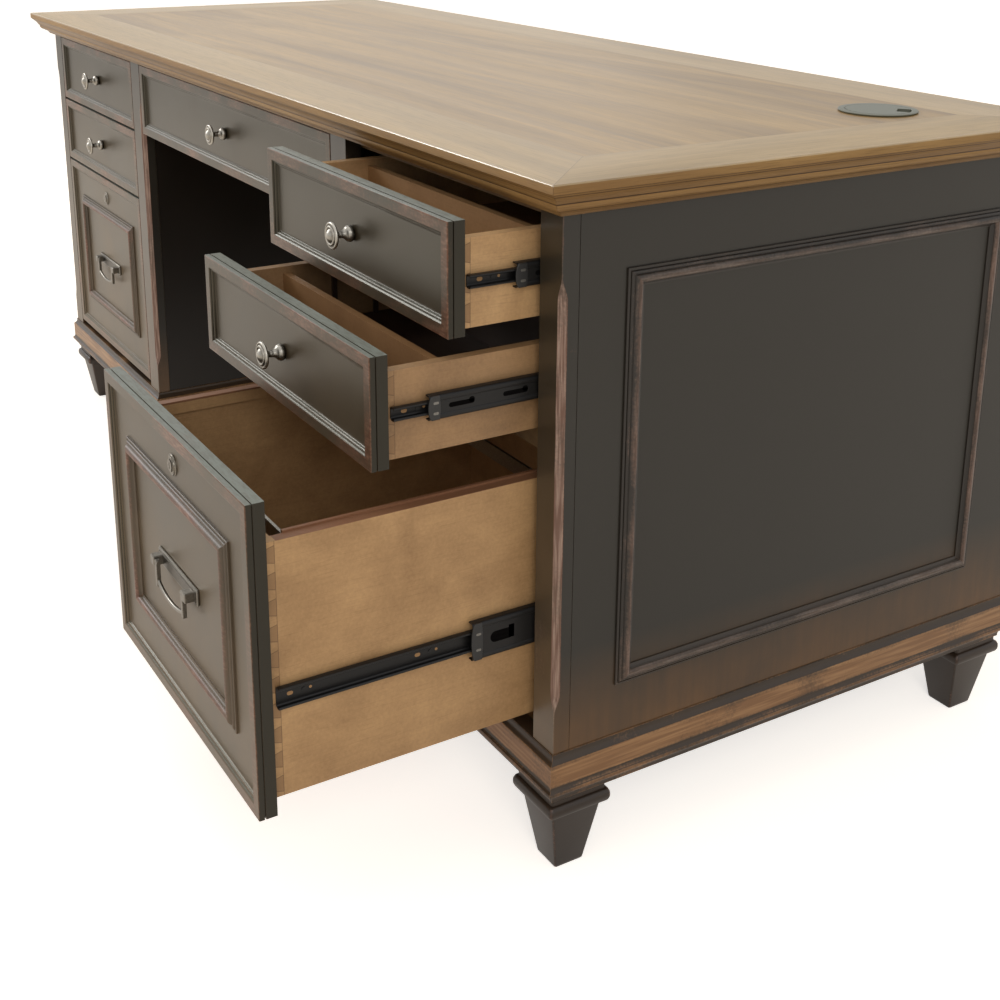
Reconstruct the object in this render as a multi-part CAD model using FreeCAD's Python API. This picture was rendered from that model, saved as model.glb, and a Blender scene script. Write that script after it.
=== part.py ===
import FreeCAD, Part
import math
import os

# Double pedestal desk in black rubbed paint with a brown veneered top.
# X runs along the width, Y from the drawer fronts to the back, Z up, floor at zero, millimetres.
# At rest the three right-hand drawers stand open as photographed and all others are shut.

# Overall sizes and the top
desk_width = 1830.0
desk_depth = 722.0
desk_height = 765.0
top_thickness = 37.0
top_overhang = 35.0
top_back_overhang = 10.0
top_edge_return = 8.0
top_fascia = 8.0
top_step = 3.0
top_cove_drop = 10.0
top_cove_run = 9.0
top_bead = 5.0
border_width = 100.0
field_thickness = 25.0

# Carcase
plinth_top = 156.0
plinth_bottom = 99.0
stile_thick = 20.0
outer_stile_width = 38.5
inner_stile_width = 43.0
drawer_opening = 427.5
panel_thick = 18.0
board_thick = 16.0
chamfer = 6.0
chamfer_tongue = 22.0
chamfer_stop_top = 62.0
chamfer_stop_bottom = 46.0
top_board_setback = 24.0

# Plinth moulding, measured out from the carcase faces
plinth_thick = 18.0
plinth_cove = 1.0
plinth_cove_height = 10.0
plinth_fascia = 6.5
plinth_fascia_height = 25.0
plinth_ridge = 10.0
plinth_ridge_drop = 8.0
plinth_lip = 1.0
plinth_lip_height = 3.0

# Feet
foot_bottom = 36.0
foot_top = 62.0
foot_cap = 78.0
foot_inset = 35.0
foot_cap_height = 15.0
foot_neck = 68.0
foot_neck_height = 7.0
foot_round = 5.0

# Applied mouldings on the flat panels
moulding_width = 20.0
moulding_rise = 8.0
moulding_nose = 5.0
moulding_lip = 2.5
side_moulding_margin = 75.0
side_moulding_bottom = 59.0
side_moulding_top = 61.0
back_moulding_margin = 60.0
file_moulding_margin = 61.0
file_moulding_width = 19.0

# Drawer fronts
front_thick = 19.0
front_gap = 4.0
front_side_gap = 2.0
small_front_height = 112.5
file_sill = 9.0
front_frame = 13.5
frame_step = 1.5
frame_ledge = 2.0
frame_bevel = 3.0
panel_recess = 5.5
edge_groove_from_face = 6.0
edge_groove = 1.4
edge_groove_depth = 1.5

# Dovetailed drawer boxes
box_side_thick = 12.0
box_depth = 457.0
small_box_lift = 4.0
small_box_headroom = 20.5
file_box_lift = 12.0
file_box_headroom = 46.0
box_bottom_thick = 6.0
box_bottom_lift = 10.0
box_groove_depth = 6.0
dovetail_pitch = 27.0
dovetail_narrow_share = 0.22
dovetail_wide_share = 0.34
divider_thick = 9.0
divider_below_rim = 8.0
top_divider_setback = 117.0
middle_divider_setbacks = (86.0, 256.0)
wall_rib_setbacks = (147.0, 201.0)
wall_rib_width = 6.0
wall_rib_thick = 4.0
file_rail_start = 44.0
file_rail_thick = 4.0
file_rail_height = 15.0
file_rail_proud = 2.0
file_bar_setbacks = (45.0, 323.0)
file_bar_thick = 3.0
file_bar_height = 16.0
file_bar_hook = 5.0
file_bar_below_rim = 3.0

# Ball-bearing slides: three nested channels on each side of a drawer
slide_length = 450.0
slide_thick = 12.7
slide_setback = 26.0
slide_sheet = 1.2
slide_gap = 0.8
cabinet_flange = 9.0
middle_flange = 8.5
drawer_flange = 8.5
small_slide_heights = (28.0, 20.0, 13.5)
file_slide_heights = (45.0, 32.5, 22.5)
small_slide_share = 0.534
file_slide_share = 0.407
cage_length = 110.0
cage_clearance = 0.35
cage_inset = 1.5
cage_width = 4.5
cleat_margin = 5.0
slide_screw_radius = 3.4
slide_screw_head = 2.0
slide_screw_setbacks = (18.0, 210.0, 430.0)

# How far each drawer stands open: first stage on the cabinet, second stage on the middle channel
open_stages = {
    "right_top": (50.0, 50.0),
    "right_middle": (145.0, 36.5),
    "right_file": (98.0, 208.0),
}

# Knobs, turned about their own axis: radius and distance from the panel of each ring
knob_reach = 30.0
knob_head_radius = 14.5
knob_base_radius = 6.5
knob_bulb_radius = 8.5
knob_neck_radius = 3.6
knob_ring_radius = 10.5
knob_dome_radius = 7.0
knob_bulb_share = 0.22
knob_bulb_end_share = 0.42
knob_neck_share = 0.60
knob_head_back_share = 0.78
knob_rim_share = 0.86
knob_ring_share = 0.91

# Bail pulls on the file drawers
bail_plate_length = 118.0
bail_plate_height = 18.0
bail_plate_thick = 3.0
bail_post = 11.0
bail_post_reach = 11.0
bail_post_centres = 96.0
bail_rod_radius = 2.4
bail_pin_clearance = 0.25
bail_moulding_clearance = 0.3
bail_drop = 30.0
bail_corner = 12.0

# Cam locks on the file drawers
lock_below_top = 39.5
lock_flange_radius = 12.0
lock_flange_thick = 3.0
lock_barrel_radius = 9.0
lock_plug_radius = 6.5
lock_plug_proud = 1.0
lock_clearance = 0.2
lock_barrel_length = 28.0
cam_thick = 3.0
cam_width = 11.0
cam_length = 25.0
keyway_width = 1.6
keyway_height = 7.0
keyway_depth = 4.0
lock_rail_height = 24.0
lock_rail_thick = 11.5
lock_rail_setback = 20.5
lock_rail_above_lock = 16.5

# Cable grommet in the top
grommet_from_edges = 163.0
grommet_flange_radius = 46.0
grommet_flange_thick = 2.5
grommet_sleeve_radius = 40.0
grommet_sleeve_wall = 2.0
grommet_ledge = 3.0
grommet_ledge_drop = 6.0
grommet_cap_clearance = 0.5
notch_width = 22.0
notch_depth = 16.0
notch_turn = 40.0

# Shares and the one overrun that serves all cuts
quarter_round_share = math.tan(math.pi / 8)
flat_curve_share = 0.3
overrun = 2.0

# Places worked out from the sizes above
Vector = FreeCAD.Vector
body_half = desk_width / 2 - top_overhang
body_depth = desk_depth - top_overhang - top_back_overhang
top_underside = desk_height - top_thickness
pedestal_width = outer_stile_width + drawer_opening + inner_stile_width
knee_half = body_half - pedestal_width
pull_reach = bail_plate_thick + bail_post_reach - panel_recess
bail_pivot_reach = moulding_rise + bail_moulding_clearance + bail_rod_radius - bail_plate_thick
file_open = sum(open_stages["right_file"])
face_y = (file_open + pull_reach - body_depth - top_back_overhang) / 2
back_y = face_y + body_depth
top_front_top = top_underside - front_gap
top_front_bottom = top_front_top - small_front_height
middle_front_top = top_front_bottom - front_gap
middle_front_bottom = middle_front_top - small_front_height
file_front_top = middle_front_bottom - front_gap
file_front_bottom = plinth_top + file_sill
opening_outer = body_half - outer_stile_width
opening_inner = knee_half + inner_stile_width


def block(x0, x1, y0, y1, z0, z1):
    """A square-edged board between two corners."""
    return Part.makeBox(x1 - x0, y1 - y0, z1 - z0, Vector(x0, y0, z0))


def mirrored(shapes):
    """The same pieces on the other side of the desk's middle."""
    return [shape.mirror(Vector(), Vector(1, 0, 0)) for shape in shapes]


def polyhedron(rings):
    """A closed solid from its flat faces, each a ring of corners."""
    faces = [Part.Face(Part.makePolygon(ring + ring[:1])) for ring in rings]
    solid = Part.Solid(Part.Shell(faces))
    if solid.Volume < 0:
        solid.reverse()
    return solid


def outline(points):
    """A face in the YZ plane from (across, up, bulge) points; bulge is the next edge's rise share."""
    edges = []
    for (y0, z0, bulge), (y1, z1, _) in zip(points, points[1:] + points[:1]):
        start, end = Vector(0, y0, z0), Vector(0, y1, z1)
        if bulge:
            normal = Vector(0, z1 - z0, y0 - y1)
            edges.append(Part.Arc(start, (start + end + normal * bulge) / 2, end).toShape())
        else:
            edges.append(Part.LineSegment(start, end).toShape())
    return Part.Face(Part.Wire(edges))


def mitred_frame(corners, up, points):
    """Four mitred lengths of moulding round a flat rectangle, corners clockwise seen from up."""
    reach = max(point[0] for point in points)
    inset = min(point[0] for point in points)
    low = min(point[1] for point in points)
    high = max(point[1] for point in points)
    lengths = []
    for start, end in zip(corners, corners[1:] + corners[:1]):
        run = end - start
        along = Vector(run).normalize()
        out = up.cross(along)
        bar = outline(points).extrude(Vector(run.Length + reach + reach, 0, 0))
        bar.translate(Vector(-reach, 0, 0))
        mitre = Part.makePolygon([
            Vector(-inset, inset, low), Vector(run.Length + inset, inset, low),
            Vector(run.Length + reach, reach, low), Vector(-reach, reach, low),
            Vector(-inset, inset, low)])
        bar = bar.common(Part.Face(mitre).extrude(Vector(0, 0, high - low)))
        matrix = FreeCAD.Matrix(
            along.x, out.x, up.x, start.x, along.y, out.y, up.y, start.y,
            along.z, out.z, up.z, start.z, 0, 0, 0, 1)
        bar.Placement = FreeCAD.Placement(matrix)
        lengths.extend(bar.Solids)
    return lengths


def floor_rectangle(x0, x1, y0, y1, z):
    """Corners of a level rectangle, clockwise seen from above."""
    return [Vector(x0, y0, z), Vector(x0, y1, z), Vector(x1, y1, z), Vector(x1, y0, z)]


def side_rectangle(x, y0, y1, z0, z1):
    """Corners of an upright rectangle, clockwise seen from the right."""
    return [Vector(x, y0, z0), Vector(x, y0, z1), Vector(x, y1, z1), Vector(x, y1, z0)]


def front_rectangle(y, x0, x1, z0, z1):
    """Corners of an upright rectangle, clockwise seen from the front."""
    return [Vector(x0, y, z0), Vector(x0, y, z1), Vector(x1, y, z1), Vector(x1, y, z0)]


def back_rectangle(y, x0, x1, z0, z1):
    """Corners of an upright rectangle, clockwise seen from the back."""
    return [Vector(x1, y, z0), Vector(x1, y, z1), Vector(x0, y, z1), Vector(x0, y, z0)]


def desktop_border():
    """Four mitred border boards whose outer edge is a stepped cove over a bead."""
    base = 0
    rise = top_thickness
    step_at = rise - top_fascia
    cove_end = step_at - top_cove_drop
    cove_in = top_step + top_cove_run
    bead_in = cove_in + top_bead
    edge_in = top_overhang - top_edge_return
    points = [
        (-border_width, base, 0), (-edge_in, base, -flat_curve_share),
        (-bead_in, cove_end - top_bead, quarter_round_share),
        (-cove_in, cove_end, -quarter_round_share), (-top_step, step_at, 0), (0, step_at, 0), (0, rise, 0),
        (-border_width, rise, 0)]
    ring = floor_rectangle(
        -desk_width / 2, desk_width / 2, face_y - top_overhang, back_y + top_back_overhang, top_underside)
    return mitred_frame(ring, Vector(0, 0, 1), points)


def grommet_centre():
    """Where the cable grommet stands on the top, at the right-hand back corner."""
    return Vector(desk_width / 2 - grommet_from_edges, back_y + top_back_overhang - grommet_from_edges, 0)


def upright(radius, low, high, centre):
    """A vertical round bar."""
    return Part.makeCylinder(radius, high - low, Vector(centre.x, centre.y, low))


def desktop_field():
    """The veneered field inside the border, bored for the grommet."""
    field = block(
        border_width - desk_width / 2, desk_width / 2 - border_width,
        face_y - top_overhang + border_width, back_y + top_back_overhang - border_width,
        desk_height - field_thickness, desk_height)
    low = desk_height - field_thickness - overrun
    return [field.cut(upright(grommet_sleeve_radius, low, desk_height + overrun, grommet_centre()))]


def grommet_ring():
    """Flanged sleeve with an inner ledge that carries the cap."""
    centre = grommet_centre()
    low = desk_height - field_thickness
    inner = grommet_sleeve_radius - grommet_sleeve_wall
    ledge_top = desk_height - grommet_ledge_drop
    high = desk_height + grommet_flange_thick
    ring = upright(grommet_sleeve_radius, low, desk_height, centre)
    ring = ring.fuse(upright(grommet_flange_radius, desk_height, high, centre))
    ring = ring.cut(upright(inner, ledge_top, high + overrun, centre))
    ring = ring.cut(upright(inner - grommet_ledge, low - overrun, ledge_top, centre))
    return [ring.removeSplitter()]


def grommet_cap():
    """Round cap lying on the ledge, with a cable notch in its rim."""
    centre = grommet_centre()
    radius = grommet_sleeve_radius - grommet_sleeve_wall - grommet_cap_clearance
    low = desk_height - grommet_ledge_drop
    high = desk_height + grommet_flange_thick
    cap = upright(radius, low, high, centre)
    half = notch_width / 2
    notch = block(radius - notch_depth, radius + overrun, -half, half, low - overrun, high + overrun)
    notch.rotate(Vector(), Vector(0, 0, 1), notch_turn)
    notch.translate(centre)
    return [cap.cut(notch)]


def chamfer_wedge(x, inward, y, low, high):
    """What a stopped chamfer takes off an upright front corner, its ends running out to nothing."""
    c = chamfer
    t = chamfer_tongue
    p0, p1 = Vector(x, y, low), Vector(x, y, high)
    q0, q1 = Vector(x + inward * c, y, low + t), Vector(x + inward * c, y, high - t)
    r0, r1 = Vector(x, y + c, low + t), Vector(x, y + c, high - t)
    return polyhedron([[p0, q0, q1, p1], [p0, p1, r1, r0], [q0, r0, r1, q1], [p0, r0, q0], [p1, q1, r1]])


def stiles():
    """Face-frame stiles at the front corners, chamfered, and plain ones at the back corners."""
    low = plinth_top + chamfer_stop_bottom
    high = top_underside - chamfer_stop_top
    pieces = []
    for x0, x1, corner, inward in (
            (opening_outer, body_half, body_half, -1), (knee_half, opening_inner, knee_half, 1)):
        front = block(x0, x1, face_y, face_y + stile_thick, plinth_top, top_underside)
        pieces.append(front.cut(chamfer_wedge(corner, inward, face_y, low, high)))
        pieces.append(block(x0, x1, back_y - stile_thick, back_y, plinth_top, top_underside))
    return pieces + mirrored(pieces)


def side_panels():
    """Outer panel of each pedestal, flush with the stiles."""
    y0, y1 = face_y + stile_thick, back_y - stile_thick
    panel = block(body_half - panel_thick, body_half, y0, y1, plinth_top, top_underside)
    return [panel] + mirrored([panel])


def kneehole_panels():
    """Panel of each pedestal towards the kneehole, which also carries the centre drawer's slides."""
    y0, y1 = face_y + stile_thick, back_y - stile_thick
    panel = block(knee_half, knee_half + panel_thick, y0, y1, plinth_top, top_underside)
    return [panel] + mirrored([panel])


def back_panels():
    """Back of each pedestal and the modesty panel across the kneehole, flush with the back stiles."""
    back = block(opening_inner, opening_outer, back_y - panel_thick, back_y, plinth_top, top_underside)
    modesty = block(-knee_half, knee_half, back_y - panel_thick, back_y, plinth_top, top_underside)
    return [back, modesty] + mirrored([back])


def moulding_outline(width):
    """Section of an applied moulding: a lip, a rounded nose and a slope down to the panel."""
    half = width / 2
    return [
        (-width, 0, 0), (0, 0, 0), (0, moulding_lip, -flat_curve_share),
        (moulding_nose - half, moulding_rise, quarter_round_share),
        (-half, moulding_rise - moulding_lip, -flat_curve_share), (-width, moulding_lip, 0)]


def panel_mouldings():
    """Mitred moulding frames on the outer side panels, the back panels and the modesty panel."""
    low = plinth_top + side_moulding_bottom
    high = top_underside - side_moulding_top
    section = moulding_outline(moulding_width)
    margin = side_moulding_margin
    side = side_rectangle(body_half, face_y + margin, back_y - margin, low, high)
    margin = back_moulding_margin
    back = back_rectangle(back_y, knee_half + margin, body_half - margin, low, high)
    modesty = back_rectangle(back_y, margin - knee_half, knee_half - margin, low, high)
    pieces = mitred_frame(side, Vector(1, 0, 0), section) + mitred_frame(back, Vector(0, 1, 0), section)
    return pieces + mirrored(pieces) + mitred_frame(modesty, Vector(0, 1, 0), section)


def carcase_boards():
    """Top board, bottom board and lock rail of each pedestal."""
    x0 = knee_half + panel_thick
    x1 = body_half - panel_thick
    lock_z = file_front_top - lock_below_top
    rail_z = lock_z + lock_rail_above_lock
    rail_y = face_y + lock_rail_setback
    y0, y1 = face_y + top_board_setback, back_y - stile_thick
    top = block(x0, x1, y0, y1, top_underside - board_thick, top_underside)
    bottom = block(
        knee_half + plinth_thick, body_half - plinth_thick, face_y + plinth_thick, back_y - plinth_thick,
        plinth_top - board_thick, plinth_top)
    rail = block(x0, x1, rail_y, rail_y + lock_rail_thick, rail_z, rail_z + lock_rail_height)
    return [top, bottom, rail] + mirrored([top, bottom, rail])


def plinths():
    """Mitred base moulding round each pedestal: cove, fascia, flared ridge and a hollow back to the lip."""
    top = plinth_top - plinth_bottom
    cove_low = top - plinth_cove_height
    fascia_low = cove_low - plinth_fascia_height
    ridge = fascia_low - plinth_ridge_drop
    points = [
        (-plinth_thick, 0, 0), (plinth_lip, 0, 0), (plinth_lip, plinth_lip_height, -flat_curve_share),
        (plinth_ridge, ridge, 0), (plinth_ridge, ridge + plinth_lip_height, -quarter_round_share),
        (plinth_fascia, fascia_low, 0), (plinth_fascia, cove_low, -flat_curve_share),
        (plinth_cove, top, 0), (-plinth_thick, top, 0)]
    ring = floor_rectangle(knee_half, body_half, face_y, back_y, plinth_bottom)
    pieces = mitred_frame(ring, Vector(0, 0, 1), points)
    return pieces + mirrored(pieces)


def square_taper(x, y, low, low_size, high, high_size):
    """A tapered square block between two levels."""
    a = low_size / 2
    b = high_size / 2
    signs = ((-1, -1), (1, -1), (1, 1), (-1, 1))
    lower = [Vector(x + a * i, y + a * j, low) for i, j in signs]
    upper = [Vector(x + b * i, y + b * j, high) for i, j in signs]
    sides = [[lower[k - 1], lower[k], upper[k], upper[k - 1]] for k in range(len(signs))]
    return polyhedron(sides + [lower, upper])


def feet():
    """Turned-square feet: a tapered block, a rounded cap and a neck under the plinth."""
    cap_high = plinth_bottom - foot_neck_height
    cap_low = cap_high - foot_cap_height
    half = foot_cap / 2
    pieces = []
    for x in (knee_half + foot_inset, body_half - foot_inset):
        for y in (face_y + foot_inset, back_y - foot_inset):
            cap = block(x - half, x + half, y - half, y + half, cap_low, cap_high)
            edges = [edge for edge in cap.Edges if abs(edge.Vertexes[0].Z - edge.Vertexes[1].Z) < overrun]
            foot = cap.makeFillet(foot_round, edges)
            foot = foot.fuse(square_taper(x, y, 0, foot_bottom, cap_low, foot_top))
            foot = foot.fuse(square_taper(x, y, cap_high, foot_neck, plinth_bottom, foot_neck))
            pieces.extend(foot.removeSplitter().Solids)
    return pieces + mirrored(pieces)


def channel(mount_x, toward, near, far, web, height, y0, y1, z):
    """A folded sheet channel: a web at one depth and two flanges reaching to the other."""
    half = height / 2
    web_far = web + slide_sheet
    parts = [(web, web_far, -half, half), (near, far, half - slide_sheet, half),
             (near, far, -half, slide_sheet - half)]
    solids = []
    for depth0, depth1, z0, z1 in parts:
        edges = sorted((mount_x + toward * depth0, mount_x + toward * depth1))
        solids.append(block(edges[0], edges[1], y0, y1, z + z0, z + z1))
    return solids[0].multiFuse(solids[1:]).removeSplitter()


class Drawer:
    """Places and pieces of one drawer, laid out shut and then drawn out by its two stages."""

    def __init__(self, name, x0, x1, z0, z1):
        self.name = name
        self.x0 = x0
        self.x1 = x1
        self.z0 = z0
        self.z1 = z1
        self.is_file = name.endswith("file")
        self.stages = open_stages.get(name, (0, 0))
        self.box_z0 = z0 + (file_box_lift if self.is_file else small_box_lift)
        self.box_z1 = z1 - (file_box_headroom if self.is_file else small_box_headroom)
        self.box_x0 = x0 + slide_thick
        self.box_x1 = x1 - slide_thick
        self.box_y0 = face_y + front_thick
        self.box_y1 = self.box_y0 + box_depth
        self.heights = file_slide_heights if self.is_file else small_slide_heights
        slide_share = file_slide_share if self.is_file else small_slide_share
        self.slide_z = self.box_z0 + (self.box_z1 - self.box_z0) * slide_share
        self.slide_y = face_y + slide_setback
        self.middle_x = (x0 + x1) / 2
        self.middle_z = (z0 + z1) / 2
        self.lock_z = z1 - lock_below_top

    def drawn(self, shapes, stages):
        """Move shut pieces out by the given number of stages."""
        for shape in shapes:
            shape.translate(Vector(0, -sum(self.stages[:stages]), 0))
        return shapes

    def sides(self):
        """Mounting plane and direction towards the drawer of its two slides."""
        return ((self.x0, 1), (self.x1, -1))

    def front(self):
        """Front with a raised frame, a stepped bevel down to a sunk panel and a groove round its edge."""
        x0, x1 = self.x0 + front_side_gap, self.x1 - front_side_gap
        y0, y1 = face_y, face_y + front_thick
        slab = block(x0, x1, y0, y1, self.z0, self.z1)
        f = front_frame
        slab = slab.cut(block(x0 + f, x1 - f, y0 - overrun, y0 + frame_step, self.z0 + f, self.z1 - f))
        a = f + frame_ledge
        b = a + frame_bevel
        outer = front_rectangle(y0 + frame_step, x0 + a, x1 - a, self.z0 + a, self.z1 - a)
        inner = front_rectangle(y0 + panel_recess, x0 + b, x1 - b, self.z0 + b, self.z1 - b)
        walls = [[outer[k - 1], outer[k], inner[k], inner[k - 1]] for k in range(len(outer))]
        slab = slab.cut(polyhedron(walls + [outer, inner]))
        g0 = y0 + edge_groove_from_face
        g1 = g0 + edge_groove
        d = edge_groove_depth
        shell = block(x0 - overrun, x1 + overrun, g0, g1, self.z0 - overrun, self.z1 + overrun)
        slab = slab.cut(shell.cut(block(x0 + d, x1 - d, g0, g1, self.z0 + d, self.z1 - d)))
        if not self.is_file:
            return self.drawn(slab.Solids, 2)
        slab = slab.cut(self.lock_round(lock_barrel_radius + lock_clearance, y0, y1 + overrun))
        return self.drawn(slab.Solids + self.file_moulding(), 2)

    def cross_board(self, y0, y1, facing):
        """Front or back board of the box with its dovetail pins, facing towards its outer face."""
        inner0, inner1 = self.box_x0 + box_side_thick, self.box_x1 - box_side_thick
        height = self.box_z1 - self.box_z0
        count = max(2, round(height / dovetail_pitch))
        pitch = height / count
        narrow = pitch * dovetail_narrow_share
        wide = pitch * dovetail_wide_share
        at_face, at_base = (y0, y1) if facing < 0 else (y1, y0)
        board = block(inner0, inner1, y0, y1, self.box_z0, self.box_z1)
        pins = []
        for k in range(count):
            z = self.box_z0 + pitch * (k + 1 / 2)
            ring = [Vector(self.box_x0, at_face, z - narrow), Vector(self.box_x0, at_face, z + narrow),
                    Vector(self.box_x0, at_base, z + wide), Vector(self.box_x0, at_base, z - wide)]
            bar = Part.Face(Part.makePolygon(ring + ring[:1]))
            pins.append(bar.extrude(Vector(self.box_x1 - self.box_x0, 0, 0)))
        return board.multiFuse(pins).removeSplitter()

    def box(self):
        """Dovetailed sides, front board, back board and a bottom let into grooves."""
        t = box_side_thick
        front = self.cross_board(self.box_y0, self.box_y0 + t, -1)
        back = self.cross_board(self.box_y1 - t, self.box_y1, 1)
        if self.is_file:
            front = front.cut(self.lock_notch())
        edge = t - box_groove_depth
        z = self.box_z0 + box_bottom_lift
        bottom = block(self.box_x0 + edge, self.box_x1 - edge, self.box_y0 + edge, self.box_y1 - edge,
                       z, z + box_bottom_thick)
        pieces = [bottom, front.cut(bottom), back.cut(bottom)]
        for x in (self.box_x0, self.box_x1 - t):
            side = block(x, x + t, self.box_y0, self.box_y1, self.box_z0, self.box_z1)
            pieces.append(side.cut(front).cut(back).cut(bottom))
        if self.name.endswith("top"):
            pieces.extend(self.dividers((top_divider_setback,)))
        if self.is_file:
            pieces.extend(self.file_rails())
        return self.drawn(pieces, 2)

    def dividers(self, setbacks):
        """Cross partitions between the sides of a shut small drawer."""
        x0, x1 = self.box_x0 + box_side_thick, self.box_x1 - box_side_thick
        low = self.box_z0 + box_bottom_lift + box_bottom_thick
        high = self.box_z1 - divider_below_rim
        return [block(x0, x1, face_y + back, face_y + back + divider_thick, low, high) for back in setbacks]

    def wall_ribs(self):
        """Upright ribs on both sides of a shut small drawer, between which a partition can be moved."""
        low = self.box_z0 + box_bottom_lift + box_bottom_thick
        high = self.box_z1 - divider_below_rim
        ribs = []
        for setback in wall_rib_setbacks:
            y = face_y + setback
            for x in (self.box_x0 + box_side_thick, self.box_x1 - box_side_thick - wall_rib_thick):
                ribs.append(block(x, x + wall_rib_thick, y, y + wall_rib_width, low, high))
        return ribs

    def file_rails(self):
        """Strips along the inner faces of a shut file drawer's sides, standing a little above the rim."""
        y0, y1 = face_y + file_rail_start, self.box_y1 - box_side_thick
        z1 = self.box_z1 + file_rail_proud
        rails = []
        for x in (self.box_x0 + box_side_thick, self.box_x1 - box_side_thick - file_rail_thick):
            rails.append(block(x, x + file_rail_thick, y0, y1, z1 - file_rail_height, z1))
        return rails

    def file_bars(self):
        """Folded cross bars between the side rails that carry hanging files."""
        inset = box_side_thick + file_rail_thick
        x0, x1 = self.box_x0 + inset, self.box_x1 - inset
        high = self.box_z1 - file_bar_below_rim
        bars = []
        for setback in file_bar_setbacks:
            y = face_y + setback
            bar = block(x0, x1, y, y + file_bar_thick, high - file_bar_height, high)
            hook = block(x0, x1, y + file_bar_thick, y + file_bar_thick + file_bar_hook,
                         high - file_bar_height, high - file_bar_height + file_bar_thick)
            bars.append(bar.fuse(hook).removeSplitter())
        return self.drawn(bars, 2)

    def cabinet_channels(self):
        """Outer slide channels, screwed to the cabinet."""
        y1 = self.slide_y + slide_length
        return [channel(x, s, 0, cabinet_flange, 0, self.heights[0], self.slide_y, y1, self.slide_z)
                for x, s in self.sides()]

    def middle_channels(self):
        """Middle slide channels with the ball cages that run above and below each of them."""
        near = slide_sheet + slide_gap
        far = near + middle_flange
        y0 = self.slide_y
        y1 = y0 + slide_length
        outer = (self.heights[1] / 2, self.heights[0] / 2 - slide_sheet - cage_clearance)
        inner = (self.heights[2] / 2 + cage_clearance, self.heights[1] / 2 - slide_sheet)
        cages = ((outer, near + cage_inset, y1 - cage_length), (inner, far - cage_inset - cage_width, y0))
        pieces = []
        for x, s in self.sides():
            pieces.append(channel(x, s, near, far, near, self.heights[1], y0, y1, self.slide_z))
            for up in (-1, 1):
                for (low, high), depth, start in cages:
                    xs = sorted((x + s * depth, x + s * (depth + cage_width)))
                    zs = sorted((self.slide_z + up * low, self.slide_z + up * high))
                    pieces.append(block(xs[0], xs[1], start, start + cage_length, zs[0], zs[1]))
        return self.drawn(pieces, 1)

    def drawer_channels(self):
        """Inner slide channels on the sides of the box, with their screws."""
        web = slide_thick - slide_sheet
        y0 = self.slide_y
        pieces = []
        for x, s in self.sides():
            pieces.append(channel(x, s, slide_thick - drawer_flange, slide_thick, web, self.heights[2],
                                  y0, y0 + slide_length, self.slide_z))
            for setback in slide_screw_setbacks:
                seat = Vector(x + s * web, y0 + setback, self.slide_z)
                screw = Part.makeCylinder(slide_screw_radius, slide_screw_head, seat, Vector(-s, 0, 0))
                pieces.append(screw)
        return self.drawn(pieces, 2)

    def knob(self):
        """Turned knob: a bulb on the panel, a thin neck and a stepped, domed head."""
        rise = knob_reach * (1 - knob_ring_share)
        sweep = math.asin(2 * knob_dome_radius * rise / (knob_dome_radius ** 2 + rise ** 2))
        dome_bulge = math.tan(sweep / 4)
        shares = [
            (knob_base_radius, 0, 0),
            (knob_bulb_radius, knob_bulb_share, quarter_round_share),
            (knob_base_radius, knob_bulb_end_share, 0),
            (knob_neck_radius, knob_neck_share, -flat_curve_share),
            (knob_head_radius, knob_head_back_share, 0),
            (knob_head_radius, knob_rim_share, 0),
            (knob_ring_radius, knob_rim_share, 0),
            (knob_ring_radius, knob_ring_share, 0),
            (knob_dome_radius, knob_ring_share, dome_bulge),
            (0, 1, 0),
            (0, 0, 0)]
        points = [(radius, knob_reach * share, bulge) for radius, share, bulge in shares]
        turned = outline(points).revolve(Vector(), Vector(0, 0, 1), 360)
        turned.rotate(Vector(), Vector(1, 0, 0), 90)
        turned.translate(Vector(self.middle_x, face_y + panel_recess, self.middle_z))
        return self.drawn(turned.Solids, 2)

    def bail_plate(self):
        """Back plate with two square posts bored for the bail's pins."""
        y = face_y + panel_recess - bail_plate_thick
        half = bail_plate_length / 2
        rise = bail_plate_height / 2
        plate = block(self.middle_x - half, self.middle_x + half, y, y + bail_plate_thick,
                      self.middle_z - rise, self.middle_z + rise)
        for s in (-1, 1):
            x = self.middle_x + s * bail_post_centres / 2
            p = bail_post / 2
            post = block(x - p, x + p, y - bail_post_reach, y, self.middle_z - p, self.middle_z + p)
            seat = Vector(x - p - overrun, y - bail_pivot_reach, self.middle_z)
            bore = Part.makeCylinder(
                bail_rod_radius + bail_pin_clearance, bail_post + overrun + overrun, seat, Vector(1, 0, 0))
            plate = plate.fuse(post.cut(bore))
        return self.drawn(plate.removeSplitter().Solids, 2)

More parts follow.
